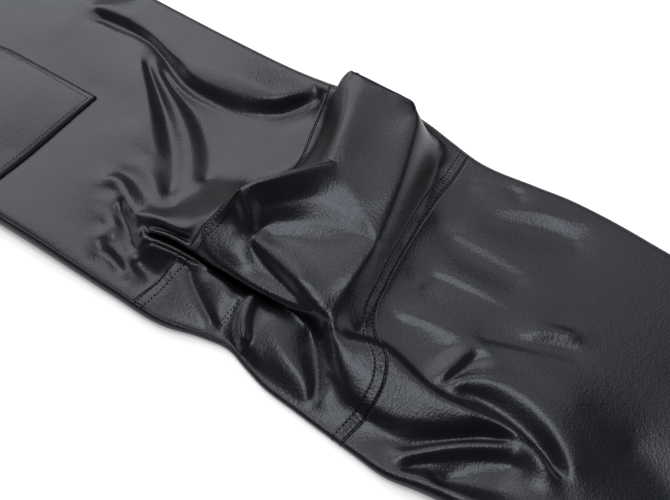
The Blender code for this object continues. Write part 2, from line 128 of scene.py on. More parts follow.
# ---------------------------------------------------------------- the camera's place
CAMERA_STATION = 355.0
CAMERA_ACROSS = -15.0
CAMERA_SWING = math.radians(34.0)      # of the camera's right hand from the leg's own direction
CAMERA_ELEVATION = math.radians(55.0)
CAMERA_LENS = 50.0
SENSOR = 36.0
IMAGE_WIDTH = 670.0
IMAGE_HEIGHT = 500.0
PIXELS_PER_MM = 1.3
CAMERA_AIM_HEIGHT = 20.0
CAMERA_CLIP = (0.05, 50.0)              # metres

# ---------------------------------------------------------------- folds
# name, softness of the crest or hollow, lean along s and b, places (pixel x, pixel y, height) on it
SHOWN_FOLDS = (
    ("rim", 1.5, 0, 6, (
        (338, 84, 50), (344, 77, 55), (351, 71, 58), (362, 76, 58), (376, 83, 57.5), (392, 91, 57),
        (406, 98, 56), (414, 104, 54), (420, 116, 46),
    )),
    ("far ridge", 3, 0, 0, ((351, 72, 58), (348, 102, 57), (342, 130, 56), (335, 161, 52))),
    ("front ridge", 4, 3, 0, (
        (412, 101, 54), (416, 112, 54), (417, 127, 53), (412, 147, 51), (405, 170, 48), (396, 193, 45),
        (386, 217, 41), (376, 240, 38), (364, 260, 36), (350, 280, 34), (337, 298, 31), (326, 314, 29),
    )),
    ("crest", 1.2, -5, 3, ((335, 161, 52), (318, 165, 56), (290, 172, 59), (262, 180, 60), (237, 190, 58))),
    ("behind the crest", 4, 0, 0, (
        (246, 186, 13), (268, 179, 12), (290, 170, 12), (306, 158, 12), (316, 140, 14), (323, 120, 18),
        (329, 103, 24), (334, 91, 34),
    )),
    ("upper bow", 2.2, 0, 0, (
        (335, 161, 52), (344, 176, 49), (354, 194, 46), (364, 210, 43), (371, 224, 41), (376, 240, 38),
    )),
    ("face bow", 2.2, 0, 0, (
        (252, 235, 36), (262, 228, 35.5), (276, 224.5, 36), (292, 223.5, 36.3), (315, 226, 36.5),
        (340, 231, 37), (362, 237, 37.5), (376, 240, 38),
    )),
    ("below the bow", 4, 0, 0, ((266, 238, 33), (285, 238.5, 33), (310, 241, 33.6), (335, 246, 35))),
    ("upper face", 5, 0, 0, (
        (260, 206, 45), (292, 203, 44.6), (318, 199, 44.6), (338, 203, 43.8), (352, 213, 42),
    )),
    ("apex ridge", 2.8, 0, 0, (
        (237, 190, 58), (243, 203, 52), (249, 216, 46), (251, 226, 41), (252, 235, 36),
    )),
    ("apex hollow", 3, 0, 0, ((236, 204, 48), (237, 218, 41), (241, 232, 36.3))),
    ("lower ridge", 1.8, 0, -5, (
        (252, 235, 36), (268, 252, 34.5), (284, 270, 33.5), (300, 291, 31.8), (314, 305, 30.3),
        (324, 314, 29.2),
    )),
    ("lower hollow", 2.2, 0, -6, (
        (252, 246, 31.5), (262, 261, 28.5), (278, 278, 26.5), (294, 292, 26.5), (308, 303, 27.8),
    )),
    ("left ridge", 3, 0, -7, (
        (237, 191, 58), (230, 199, 50), (221, 208, 42), (212, 219, 37), (206, 230, 34), (205, 241, 31.5),
        (211, 251, 29.5), (224, 262, 27.5), (243, 274, 26.5), (262, 285, 26), (280, 294, 25.7),
        (298, 302, 26), (312, 308, 27), (322, 313, 28.2),
    )),
    ("left facet", 5, 0, -5, ((222, 222, 37.3), (225, 236, 34.6), (232, 250, 32), (248, 262, 29.6))),
    ("roll", 2.2, 0, -6, (
        (134, 212, 19), (147, 216, 20), (162, 221, 22), (176, 228, 24), (187, 230, 26), (197, 224, 30),
        (206, 216, 35),
    )),
    ("under the roll", 3, 0, -1, (
        (138, 226, 16), (154, 228, 16), (169, 232, 17), (181, 238, 18), (191, 243, 19),
    )),
    ("upper lip", 1.5, 0, -3, (
        (140, 230, 19), (150, 231, 20), (160, 233, 21), (170, 236, 22), (180, 241, 22), (190, 248, 22.5),
        (200, 255, 23), (212, 263.5, 23.5), (226, 271.5, 23.5), (245, 283, 23.5), (262, 292.5, 23.5),
        (280, 301, 23.5), (298, 308, 24), (312, 312, 25.5), (320, 315, 26.5),
    )),
    ("mouth", 2, 0, 13, (
        (148, 234, 9), (160, 238, 8), (175, 242, 7), (190, 251, 7), (205, 260, 7), (220, 270, 7),
        (240, 282, 7), (262, 294, 8), (280, 303, 10),
    )),
    ("lower lip", 1, 0, 11, (
        (143, 233, 17), (150, 239, 18), (160, 243, 18), (170, 247, 18), (180, 252, 18), (190, 257, 18),
        (200, 263, 17.5), (208, 268, 16.5),
    )),
    ("lip groove", 1, 0, 13, (
        (150, 241, 15.5), (160, 246, 15.5), (170, 250, 15.5), (180, 255, 15.5), (190, 260, 15.5),
        (200, 265, 15.5),
    )),
    ("lip piping", 1, 0, 15, (
        (150, 243, 17), (160, 248, 17), (170, 252, 17), (180, 257, 17), (190, 262, 17), (200, 267, 16.5),
        (208, 270, 16),
    )),
    ("under the piping", 2, 0, 16, ((150, 249, 14), (166, 255, 14), (182, 263, 13.5), (198, 271, 13.5))),
    ("below the piping", 3, 0, 13, ((134, 264, 6), (148, 272, 5.4), (160, 279, 5.6))),
    ("inner thigh ridge", 1.5, 0, 0, (
        (97, 6, 13), (115, 12, 13), (132, 20, 13), (148, 31, 13), (160, 43, 13), (173, 54, 13.5),
        (192, 64, 15), (215, 71, 16), (240, 79, 17), (262, 88, 17.5), (282, 95, 17.5), (300, 92, 17),
        (318, 88, 16),
    )),
    ("inner thigh face", 4, 0, 0, (
        (184, 62, 14.3), (192, 73, 13.7), (205, 81, 13.8), (226, 89, 14.3), (245, 94, 15.2),
        (262, 97, 16.1), (280, 99, 16.7),
    )),
    ("inner thigh hollow", 2.5, 0, 0, (
        (97, 18, 6), (118, 27, 6), (138, 36.5, 6.5), (151, 44, 7), (164, 59, 6.5), (177, 78, 6),
        (192, 91, 5.5), (212, 103, 5), (236, 114, 5), (262, 117, 5.5), (290, 114, 6), (308, 105, 8),
    )),
    ("middle thigh ridge", 1.6, 0, 0, (
        (97, 22, 9), (115, 32, 9.2), (135, 38.5, 9.4), (148, 46, 9.5), (160, 59, 9), (170, 77, 8.5),
        (180, 90, 7.8), (190, 98, 7), (205, 105, 6), (222, 113, 5.4), (240, 119, 5.2), (262, 121.5, 5.7),
        (290, 119, 6.4), (308, 111, 8.2), (322, 100, 11),
    )),
    ("thigh side ridge", 2.5, 0, 0, (
        (138, 52, 12), (143, 62, 12.5), (146, 80, 13.5), (148, 100, 13.5), (150, 120, 13.5), (152, 140, 13),
        (155, 158, 12),
    )),
    ("thigh side hollow", 2.5, 0, 0, (
        (146, 62, 10), (153, 80, 8), (160, 98, 6.5), (166, 115, 6), (171, 135, 6), (174, 155, 6),
        (175, 178, 6.5), (169, 194, 8),
    )),
    ("outer thigh ridge", 3, 0, 0, (
        (150, 62, 11.5), (158, 76, 11.5), (166, 90, 11.5), (174, 105, 11), (181, 122, 10.5),
        (187, 140, 10.5), (190, 160, 10.5), (189, 180, 11), (182, 198, 12), (170, 210, 13.5),
    )),
    ("outer thigh hollow", 3, 0, 0, (
        (163, 72, 8.5), (172, 86, 7), (186, 103, 5.5), (198, 120, 5), (206, 140, 5), (209, 160, 5.5),
        (206, 182, 7),
    )),
    ("block edge", 5, 0, 0, ((98, 134, 10.5), (120, 140, 11), (138, 149, 11), (152, 158, 10.8))),
    ("block", 10, 0, 0, ((97, 85, 8), (120, 100, 9), (132, 120, 10))),
    ("arc", 3, 0, 0, (
        (126, 163, 11), (138, 167, 11.5), (148, 175, 12), (154, 186, 12.5), (157, 198, 13), (158, 210, 14),
    )),
    ("beside the arc", 4, 0, 0, ((120, 172, 9.5), (134, 176, 10), (143, 186, 10.5), (148, 198, 11.5))),
    ("hook", 2, 0, 0, (
        (96, 190, 11), (103, 181, 13), (110, 178, 14.5), (117, 180, 15), (123, 189, 15.5), (127, 199, 16),
        (130, 208, 16.5), (137, 212, 17.5), (146, 213, 19),
    )),
    ("under the hook", 3, 0, 0, ((99, 191, 11.2), (108, 189, 12), (115, 194, 12.3))),
    ("ring", 3, 0, 0, (
        (96, 203, 10.5), (105, 210, 11.5), (111, 219, 12.2), (115, 228, 12.5), (111, 234, 12),
        (103, 237, 11), (96, 238, 10.5),
    )),
    ("over the ring", 3, 0, 0, ((96, 197, 11), (104, 199, 12), (112, 203, 12.5), (119, 208, 12))),
    ("ring hollow", 3, 0, 0, ((96, 218, 9.5), (101, 224, 9.5), (98, 231, 9.5))),
    ("gap under the hook", 4, 0, 13, ((119, 205, 10), (124, 220, 9), (129, 238, 9), (134, 252, 9))),
    ("low left ridge", 2, 0, 13, (
        (97, 239, 9), (106, 241, 10), (114, 247, 10.5), (122, 257, 11), (129, 268, 11), (136, 281, 10),
    )),
    ("low left hollow", 3, 0, 13, ((99, 250, 7), (112, 259, 7.5), (124, 273, 8))),
    ("lowest left ridge", 2, 0, 13, ((97, 256, 8.5), (106, 265, 9.5), (116, 275, 9.5), (127, 284, 9))),
    ("soft lower ridge", 3, 0, 13, (
        (172, 262, 14.5), (181, 276, 13.5), (191, 294, 12), (200, 312, 10.5), (207, 327, 8.5),
    )),
    ("turned edge", 1.2, 0, 13, (
        (191, 263, 15), (199, 284, 13.5), (208, 303, 12.5), (216, 318, 11), (220, 326, 9.5),
    )),
    ("beside the turned edge", 1.2, 0, 13, (
        (187, 263, 13.5), (194, 284, 11), (203, 304, 9.5), (212, 320, 8), (217, 330, 6.5),
    )),
    ("sliver", 3, 0, 13, ((211, 273, 16.5), (221, 281, 16.5), (228, 290, 16), (232, 299, 15))),
    ("sack edge", 1.6, 0, 13, (
        (254, 292, 19), (248, 304, 18.5), (243, 319, 18), (241, 335, 16.5), (241, 347, 14.5),
        (244, 360, 12), (250, 370, 10), (258, 378, 8.5),
    )),
    ("outside the sack", 4, 0, 13, ((240, 300, 14.5), (232, 318, 11), (230, 335, 8.5), (234, 350, 7))),
    ("inside the sack", 3, 0, 13, (
        (258, 300, 15), (255, 314, 14), (253, 330, 13), (254, 346, 11.5), (259, 360, 9.5),
    )),
    ("sack bulge", 6, 0, 13, (
        (266, 318, 15), (273, 336, 14.8), (284, 353, 14), (295, 366, 12.8), (303, 377, 11.3),
        (307, 388, 9.6), (305, 400, 8),
    )),
    ("under the lip", 3, 0, 13, ((273, 306, 13), (293, 314, 13), (306, 321, 13))),
    ("beside the bulge", 2.5, 0, 13, (
        (310, 322, 11.5), (314, 338, 8), (316, 360, 6.5), (317, 382, 6), (314, 402, 6),
    )),
    ("drop ridge", 2, 0, 0, (
        (322, 316, 25), (326, 332, 18), (327, 348, 14), (327, 365, 11.5), (325, 385, 10), (321, 405, 8.5),
    )),
    ("beside the drop", 5, 0, 0, ((331, 360, 16), (336, 378, 13.5), (342, 396, 11))),
    ("shin crest", 1.6, 0, 0, (
        (326, 318, 27), (333, 332, 25.8), (345, 339, 24.2), (362, 342, 23), (378, 346, 22), (394, 355, 21),
        (409, 370, 19.5), (425, 384, 18), (442, 397, 17), (460, 406, 16.5), (480, 415, 15.8),
        (502, 424, 15), (520, 434, 14), (527, 440, 13),
    )),
    ("beside the shin crest", 2, 0, 0, (
        (350, 332, 15), (370, 338, 13), (388, 347, 12), (404, 360, 11), (420, 376, 11), (436, 388, 11),
        (450, 395, 10), (470, 403, 9),
    )),
    ("bright band", 3, 0, 0, (
        (329, 328, 26), (334, 345, 23.5), (339, 364, 20.5), (347, 381, 17.7), (358, 395, 16),
        (375, 407, 14.7), (395, 413, 14), (415, 417, 13.5), (440, 421, 13), (470, 425, 12.6),
    )),
    ("lens", 4, 0, 0, ((352, 362, 22.3), (366, 369, 21.6), (384, 374, 20.7), (402, 382, 19.5))),
    ("below the band", 3, 0, 0, (
        (350, 402, 11), (365, 418, 9), (385, 434, 7), (404, 446, 5.6), (430, 445, 5), (460, 441.5, 5.1),
        (490, 441.5, 6.4), (508, 442.5, 8.9),
    )),
    ("low crest", 2.5, 0, 0, (
        (378, 467, 6.5), (388, 461, 8), (402, 455, 9.5), (422, 449.5, 10.2), (444, 445, 10.6),
        (466, 442.7, 11), (486, 442.5, 11.5), (506, 443.5, 12), (521, 444, 12.5), (527, 442, 12.8),
    )),
    ("low crest tail", 2, 0, 0, (
        (527, 441, 13), (538, 450, 13), (550, 465, 13), (560, 482, 12), (568, 500, 11),
    )),
    ("below the low crest", 2.5, 0, 0, (
        (404, 469, 5.4), (430, 465, 5.5), (460, 462, 5.7), (490, 463, 5.9), (516, 467, 6.7),
    )),
    ("foot of the low crest", 6, 0, 0, ((430, 485, 6), (465, 489, 6.8), (500, 492, 7.2))),
    ("great arc", 3, 0, 0, (
        (449, 389, 11), (455, 381, 12.5), (470, 378, 13.5), (490, 381, 14.5), (511, 389, 14.5),
        (530, 402, 14.5), (545, 417, 14.5), (557, 435, 14), (565, 453, 13.5), (571, 475, 13),
    )),
    ("great hollow", 2, 0, 0, (
        (462, 393, 9), (480, 402, 7.5), (500, 415, 7), (517, 429, 7), (530, 444, 7.5), (545, 462, 7),
        (558, 482, 6.5),
    )),
    ("wedge", 2, 0, 0, (
        (430, 381, 11), (442, 376, 12.3), (456, 364, 12.8), (468, 352, 12.5), (478, 344, 12),
    )),
    ("above the wedge", 4, 0, 0, ((422, 370, 9.5), (436, 356, 9.5), (452, 345, 9.8))),
    ("below the wedge", 2.5, 0, 0, ((448, 384, 9.5), (463, 370, 9.5), (477, 357, 9.8))),
    ("middle crest", 2, 0, 0, (
        (395, 314, 10.8), (420, 320, 11.7), (450, 332, 12), (477, 343, 12), (500, 348, 11.5),
        (530, 356, 11.5), (577, 368, 11.5),
    )),
    ("below the middle crest", 2.5, 0, 0, ((399, 319.5, 9.8), (420, 326.5, 10.5), (446, 338, 10.9))),
    ("above the middle crest", 3, 0, 0, ((480, 336, 10), (505, 342, 9.8), (526, 347, 9.8))),
    ("upper crest", 2.5, 0, 0, (
        (431, 270, 10.8), (455, 279, 11.8), (480, 291, 11.9), (510, 305, 11.5), (540, 318, 11.5),
        (577, 331, 11),
    )),
    ("below the upper crest", 2.5, 0, 0, (
        (434, 275.5, 9.9), (456, 285.5, 10.5), (480, 297.5, 10.9), (510, 311, 11),
    )),
    ("top crest", 5, 0, 0, (
        (440, 225, 10), (470, 240, 11), (510, 262, 11), (550, 285, 11), (577, 300, 11),
    )),
    ("below the top crest", 5, 0, 0, ((450, 240, 9), (480, 258, 9.3), (520, 280, 9.5))),
    ("edge band", 2, 0, 0, ((488, 207, 11.5), (515, 208, 12.8), (545, 213, 13.2), (577, 223, 13.2))),
    ("edge band foot", 2.5, 0, 0, ((484, 221, 10), (515, 225, 9.3), (545, 231, 9), (577, 244, 9))),
    ("edge patch", 2.5, 0, 0, ((466, 188, 11), (485, 186, 12.5), (505, 189, 13), (522, 197, 12))),
    ("side highlight", 2.5, 0, 0, ((524, 334, 11), (538, 331, 12.3), (556, 331, 12.6), (577, 337, 12.6))),
    ("side dip", 3, 0, 0, ((526, 346, 9.8), (545, 345, 9.8), (577, 352, 9.8))),
    ("low side ridge", 4, 0, 0, (
        (480, 345, 13), (500, 358, 12), (530, 372, 13), (552, 386, 14), (577, 404, 14),
    )),
    ("pucker at the seam", 1.5, 0, 0, ((415, 279, 10), (420, 285, 11), (425, 292, 9))),
    ("right hollow", 5, -4, 0, (
        (437, 164, 15), (424, 213, 16), (409, 248, 15), (394, 277, 14), (380, 303, 13), (364, 326, 14),
    )),
)
# the same, with places (s, b, height), where the photograph doesn't reach
RIGHT_FOLDS = (
    ("thigh middle", 12, 0, 0, ((40, 20, 9), (60, -30, 8), (70, -80, 9))),
    ("crotch fold", 8, 0, 0, ((-30, 104, 8), (-5, 60, 11), (-10, 20, 9))),
    ("hip fold", 8, 0, 0, ((-120, -20, 7), (-90, -60, 10), (-50, -100, 12))),
    ("shin end fold", 8, 0, 0, ((620, 40, 9), (660, 10, 12), (695, -30, 10))),
    ("shin end hollow", 8, 0, 0, ((610, -30, 6), (650, -50, 5), (690, -80, 6))),
)
LEFT_FOLDS = (
    ("knee crest", 3, 0, 0, ((258, 96, 20), (282, 50, 30), (300, 0, 33), (292, -50, 26), (280, -100, 18))),
    ("knee hollow", 4, 0, 0, ((300, 110, 10), (322, 50, 12), (334, -10, 13), (330, -80, 9))),
    ("knee lower crest", 3, 0, 0, (
        (330, 116, 16), (352, 60, 24), (372, 5, 27), (366, -60, 22), (356, -112, 15),
    )),
    ("below the knee", 5, 0, 0, ((372, 90, 9), (398, 20, 8), (410, -40, 8))),
    ("shin ridge", 4, 0, 0, ((430, 84, 14), (478, 52, 17), (530, 44, 16), (585, 66, 13))),
    ("shin hollow", 5, 0, 0, ((440, 20, 6), (500, 0, 5), (560, 12, 5))),
    ("shin side ridge", 4, 0, 0, ((450, -40, 14), (505, -66, 16), (560, -60, 14), (610, -86, 12))),
    ("thigh ridge", 4, 0, 0, ((20, 66, 14), (80, 40, 17), (150, 42, 16), (215, 76, 14))),
    ("thigh hollow", 4, 0, 0, ((60, 90, 6), (120, 78, 5), (190, 100, 7))),
    ("thigh side hollow", 5, 0, 0, ((60, -10, 6), (130, -30, 5), (200, -14, 7))),
    ("thigh side ridge", 4, 0, 0, ((130, -60, 13), (180, -84, 14), (235, -80, 13))),
    ("crotch fold", 8, 0, 0, ((-28, 100, 8), (8, 62, 11), (40, 8, 9))),
    ("hip fold", 8, 0, 0, ((-100, -10, 7), (-66, -50, 10), (-12, -88, 12))),
    ("shin end fold", 8, 0, 0, ((600, -20, 8), (650, 20, 12), (690, 30, 10))),
)
TUCK_START = (212.0, 246.0)   # s over which the knee's overhanging folds begin to lean
TUCK_END = (352.0, 384.0)
TUCK_EDGE = 125.0        # the lean of the cloth below them fades out at this distance
TUCK_FADE = 39.0
END_FADE = 12.0          # a fold's line holds the cloth less and less over this much of its ends
SOFTNESS = 1.7           # bending length on a fold's line, for a softness of one
STIFFENING = 0.18        # and how fast it grows away from the line
STIFF_LENGTH = 7.0       # bending length of the cloth away from all folds
REST_HEIGHT = 9.0
REST_PULL = 0.0003       # per square millimetre
FOLD_PULL = 60.0         # on the line of a fold
LEAST_FIRM = 0.06        # what is left of it at the line's very ends
LEAN_FADE = 0.2          # share of a fold's length over which its lean along s begins and ends
FIRM_PULL = 2000.0       # along a border
BORDER_WIDTH = 2.0
FLAT_AT_WAIST = 30.0     # the front stays flat this far below the waist seam
FLAT_FROM_COLUMN = 2
LOWEST_FRONT = WALL * 1.5 + SEAM_GAP + 0.6
COARSEST_STEP = 16.0
ROUGH_STEP = 4.0         # the bending length is worked out no finer than this
LINE_STRIDE = 4          # and from every so many millimetres of a fold's line
FAR_OFF = 1e9
FINE_ROUNDS = 260
COARSE_ROUNDS = 500
SETTLED = 1e-7
NORMAL_STEP = 0.3        # either side of a point, for the cloth's direction there
NORMAL_STEP_ACROSS = 0.0012


def ramp(x, start, end):
    """0 before start, 1 after end, with a soft turn between them."""
    t = np.clip((np.asarray(x, float) - start) / (end - start), 0.0, 1.0)
    return t * t * (3.0 - 2.0 * t)


def smooth_through(table, at):
    """The table's later columns at the given values of its first one, as a smooth curve."""
    rows = np.array(table, float)
    knots = rows[:, 0]
    slopes = np.gradient(rows[:, 1:], knots, axis=0)
    at = np.clip(np.asarray(at, float), knots[0], knots[-1])
    k = np.clip(np.searchsorted(knots, at, side="right") - 1, 0, len(knots) - 2)
    span = knots[k + 1] - knots[k]
    t = ((at - knots[k]) / span)[..., None]
    span = span[..., None]
    low, high = rows[k, 1:], rows[k + 1, 1:]
    return (
        (2 * t**3 - 3 * t**2 + 1) * low
        + (t**3 - 2 * t**2 + t) * span * slopes[k]
        + (3 * t**2 - 2 * t**3) * high
        + (t**3 - t**2) * span * slopes[k + 1]
    )


def line_through(places, spacing):
    """Evenly spaced points on a smooth line through a few places."""
    places = np.array(places, float)
    steps = np.linalg.norm(np.diff(places[:, :2], axis=0), axis=1)
    along = np.concatenate([[0.0], np.cumsum(np.maximum(steps, 1e-6))])
    count = max(int(along[-1] / spacing) + 1, 2)
    return smooth_through(np.column_stack([along, places]), np.linspace(0, along[-1], count))


def leg_place(s, across):
    """World (x, y) of a place on the right leg, from its station and its distance off the middle."""
    x = LEG_START[0] + s * math.cos(LEG_ANGLE) + across * math.sin(LEG_ANGLE)
    y = LEG_START[1] - s * math.sin(LEG_ANGLE) + across * math.cos(LEG_ANGLE)
    return np.stack([x, y], axis=-1)


def seen_place(pixel_x, pixel_y, height):
    """(s, b, height) of the place on the right leg that the camera shows at a pixel."""
    level, steep = math.cos(CAMERA_ELEVATION), math.sin(CAMERA_ELEVATION)
    sideways = np.array([math.cos(CAMERA_SWING), math.sin(CAMERA_SWING), 0.0])
    ahead = np.array([-math.sin(CAMERA_SWING) * level, math.cos(CAMERA_SWING) * level, -steep])
    focal = CAMERA_LENS / SENSOR * IMAGE_WIDTH
    eye = np.array([CAMERA_STATION, CAMERA_ACROSS, CAMERA_AIM_HEIGHT]) - ahead * focal / PIXELS_PER_MM
    ray = ahead + sideways * (pixel_x - IMAGE_WIDTH / 2) / focal
    ray = ray + np.cross(sideways, ahead) * (IMAGE_HEIGHT / 2 - pixel_y) / focal
    s, b, _ = eye + ray * (height - eye[2]) / ray[2]
    return s, b, height


MIDDLE_X = (PELVIS_SECTIONS[0][1] + float(leg_place(LEG_LENGTH, 125.0)[0])) / 2


def laplacian(field):
    padded = np.pad(field, 1, mode="edge")
    return padded[2:, 1:-1] + padded[:-2, 1:-1] + padded[1:-1, 2:] + padded[1:-1, :-2] - 4 * field


def relax(field, bending, pull, pulled_to, rounds):
    """Conjugate gradients on the cloth's tension, its bending and the pulls on it."""

    def forces(f):
        bend = laplacian(f)
        return laplacian(bending * bend) - bend + pull * f

    scale = 1.0 / (4 + 20 * bending + pull)
    left = pulled_to - forces(field)
    push = scale * left
    way = push
    size = np.sum(left * push)
    if size < SETTLED:
        return field
    for _ in range(rounds):
        change = forces(way)
        amount = size / np.sum(way * change)
        field = field + amount * way
        left = left - amount * change
        push = scale * left
        new_size = np.sum(left * push)
        if new_size < SETTLED:
            break
        way = push + (new_size / size) * way
        size = new_size
    return field


def sampled(grid, i, j):
    """Values of a grid between its nodes, by smooth cubic steps."""
    i = np.clip(i, 0, grid.shape[0] - 1.001)
    j = np.clip(j, 0, grid.shape[1] - 1.001)
    i0 = i.astype(int)
    j0 = j.astype(int)

    def weights(t):
        return (
            (-t + 2 * t**2 - t**3) / 2, (2 - 5 * t**2 + 3 * t**3) / 2,
            (t + 4 * t**2 - 3 * t**3) / 2, (-t**2 + t**3) / 2,
        )

    total = 0.0
    for a, weight_i in enumerate(weights(i - i0), -1):
        for c, weight_j in enumerate(weights(j - j0), -1):
            row = np.clip(i0 + a, 0, grid.shape[0] - 1)
            column = np.clip(j0 + c, 0, grid.shape[1] - 1)
            total = total + weight_i * weight_j * grid[row, column]
    return total


class Half:
    """One half of the trousers: its outline, its side seam and the folds of its front."""

    def __init__(self, side, outline, turns, folds, finest):
        self.side = side
        self.left = side == "left"
        self.outline = outline
        self.turns = turns
        self.start = -RISE - BAND_WIDTH
        self.step = finest
        self.solve(folds)

    def edges(self, s):
        """Outer and inner edge points, and the radius of the roll at each."""
        leg = smooth_through(self.outline, s)
        pelvis = smooth_through(PELVIS_SECTIONS, s)
        on_leg = ramp(s, -CROTCH_RAMP, 0.0)[..., None]
        outer = on_leg * leg_place(s, -leg[..., 0]) + (1 - on_leg) * pelvis[..., 0:2]
        inner = on_leg * leg_place(s, leg[..., 1]) + (1 - on_leg) * pelvis[..., 2:4]
        return outer, inner, leg[..., 2], leg[..., 3]

    def column_of(self, s, b):
        """The fold grid's own b for a true b on the leg: the rolled edges take their widths off it."""
        leg = smooth_through(self.outline, s)
        from_edge = b + leg[..., 0] - leg[..., 2]
        flat = leg[..., 0] + leg[..., 1] - leg[..., 2] - leg[..., 3]
        return FOLD_HALF_WIDTH * (2 * from_edge / flat - 1)

    def solve(self, folds):
        lines = []
        for _, softness, lean_s, lean_b, places in folds:
            line = line_through(places, 1.0)
            part = np.linspace(0, 1, len(line))
            shift_s = lean_s * ramp(part, 0.0, LEAN_FADE) * ramp(1 - part, 0.0, LEAN_FADE)
            shift_b = lean_b * ramp(line[:, 0], *TUCK_START) * (1 - ramp(line[:, 0], *TUCK_END))
            if lean_b > 0 and line[0, 1] < 0:
                shift_b = shift_b * np.clip((line[:, 1] + TUCK_EDGE) / TUCK_FADE, 0, 1)
            s = line[:, 0] - shift_s
            b = self.column_of(s, line[:, 1] - shift_b)
            from_start, from_end = part * len(line), (1 - part) * len(line)
            firm = LEAST_FIRM + ramp(from_start, 0.0, END_FADE) * ramp(from_end, 0.0, END_FADE)
            lines.append((s, b, (line[:, 2], shift_s, shift_b), softness, firm))
        steps = [COARSEST_STEP]
        while steps[-1] > self.step * 1.01:
            steps.append(steps[-1] / 2)
        fields = None
        for step in steps:
            fields = self.level(lines, step, fields)
        self.height = np.maximum(fields[0], LOWEST_FRONT)
        self.lean_s, self.lean_b = fields[1], fields[2]

    def level(self, lines, step, coarser):
        count_s = int(round((LEG_LENGTH - self.start) / step)) + 1
        count_b = int(round(2 * FOLD_HALF_WIDTH / step)) + 1
        s_nodes = self.start + step * np.arange(count_s)
        stiff = self.stiffness(lines, s_nodes, step, count_b)
        bending = (stiff / step) ** 2
        pull = np.full((count_s, count_b), REST_PULL * step**2)
        targets = [np.full(pull.shape, REST_HEIGHT) * pull, np.zeros(pull.shape), np.zeros(pull.shape)]
        for s, b, values, _, firm in lines:
            i = (s - self.start) / step
            j = (b + FOLD_HALF_WIDTH) / step
            for corner_i, corner_j in ((0, 0), (0, 1), (1, 0), (1, 1)):
                node_i = np.floor(i).astype(int) + corner_i
                node_j = np.floor(j).astype(int) + corner_j
                share = FOLD_PULL / step * firm * (1 - np.abs(i - node_i)) * (1 - np.abs(j - node_j))
                share[(node_i < 0) | (node_i >= count_s) | (node_j < 0) | (node_j >= count_b)] = 0.0
                node = (np.clip(node_i, 0, count_s - 1), np.clip(node_j, 0, count_b - 1))
                np.add.at(pull, node, share)
                for target, value in zip(targets, values):
                    np.add.at(target, node, share * value)
        self.pin_borders(s_nodes, step, pull, targets)
        fields = []
        for number, target in enumerate(targets):
            if coarser is None:
                first = np.full(pull.shape, REST_HEIGHT if number == 0 else 0.0)
            else:
                grid_i = np.arange(count_s)[:, None] / 2
                grid_j = np.arange(count_b)[None, :] / 2
                first = sampled(coarser[number], *np.broadcast_arrays(grid_i, grid_j))
            rounds = FINE_ROUNDS if step < ROUGH_STEP else COARSE_ROUNDS
            fields.append(relax(first, bending, pull, target, rounds))
        return fields

    def stiffness(self, lines, s_nodes, step, count_b):
        """Bending length at each node: small along a sharp fold and growing away from it."""
        rough = max(step, ROUGH_STEP)
        every = int(round(rough / step))
        s = s_nodes[::every][:, None]
        b = (-FOLD_HALF_WIDTH + step * np.arange(count_b))[::every][None, :]
        stiff = np.full((s.shape[0], b.shape[1]), STIFF_LENGTH)
        for line_s, line_b, _, softness, _ in lines:
            near = np.full(stiff.shape, FAR_OFF)
            for at_s, at_b in zip(line_s[::LINE_STRIDE], line_b[::LINE_STRIDE]):
                near = np.minimum(near, (s - at_s) ** 2 + (b - at_b) ** 2)
            stiff = np.minimum(stiff, SOFTNESS * softness + STIFFENING * np.sqrt(near))
        if every == 1:
            return stiff
        rows = np.arange(len(s_nodes))[:, None] / every
        columns = np.arange(count_b)[None, :] / every
        return np.maximum(sampled(stiff, *np.broadcast_arrays(rows, columns)), 1.0)

    def pin_borders(self, s, step, pull, targets):
        leg = smooth_through(self.outline, s)
        outer = WALL / 2 + 2 * leg[:, 2]
        rolled = WALL / 2 + 2 * leg[:, 3]
        inner = FLAT_FRONT + (rolled - FLAT_FRONT) * ramp(s, 0.0, CROTCH_RAMP)
        border = max(1, int(round(BORDER_WIDTH / step)))
        for columns, height in ((slice(0, border), outer), (slice(-border, None), inner)):
            pull[:, columns] = FIRM_PULL
            for target, value in zip(targets, (height, 0 * height, 0 * height)):
                target[:, columns] = FIRM_PULL * value[:, None]
        waist = s < -RISE + FLAT_AT_WAIST
        pull[waist, FLAT_FROM_COLUMN:] = FIRM_PULL
        targets[0][waist, FLAT_FROM_COLUMN:] = FIRM_PULL * FLAT_FRONT

    def at(self, grid, s, b):
        return sampled(grid, (s - self.start) / self.step, (b + FOLD_HALF_WIDTH) / self.step)


def rolled_edge(angle, radius, wall):
    """How far in from the edge, and how high, the cloth is at an angle of the roll (0 at the floor)."""
    return radius * (1 - np.sin(angle)), wall / 2 + radius * (1 - np.cos(angle))


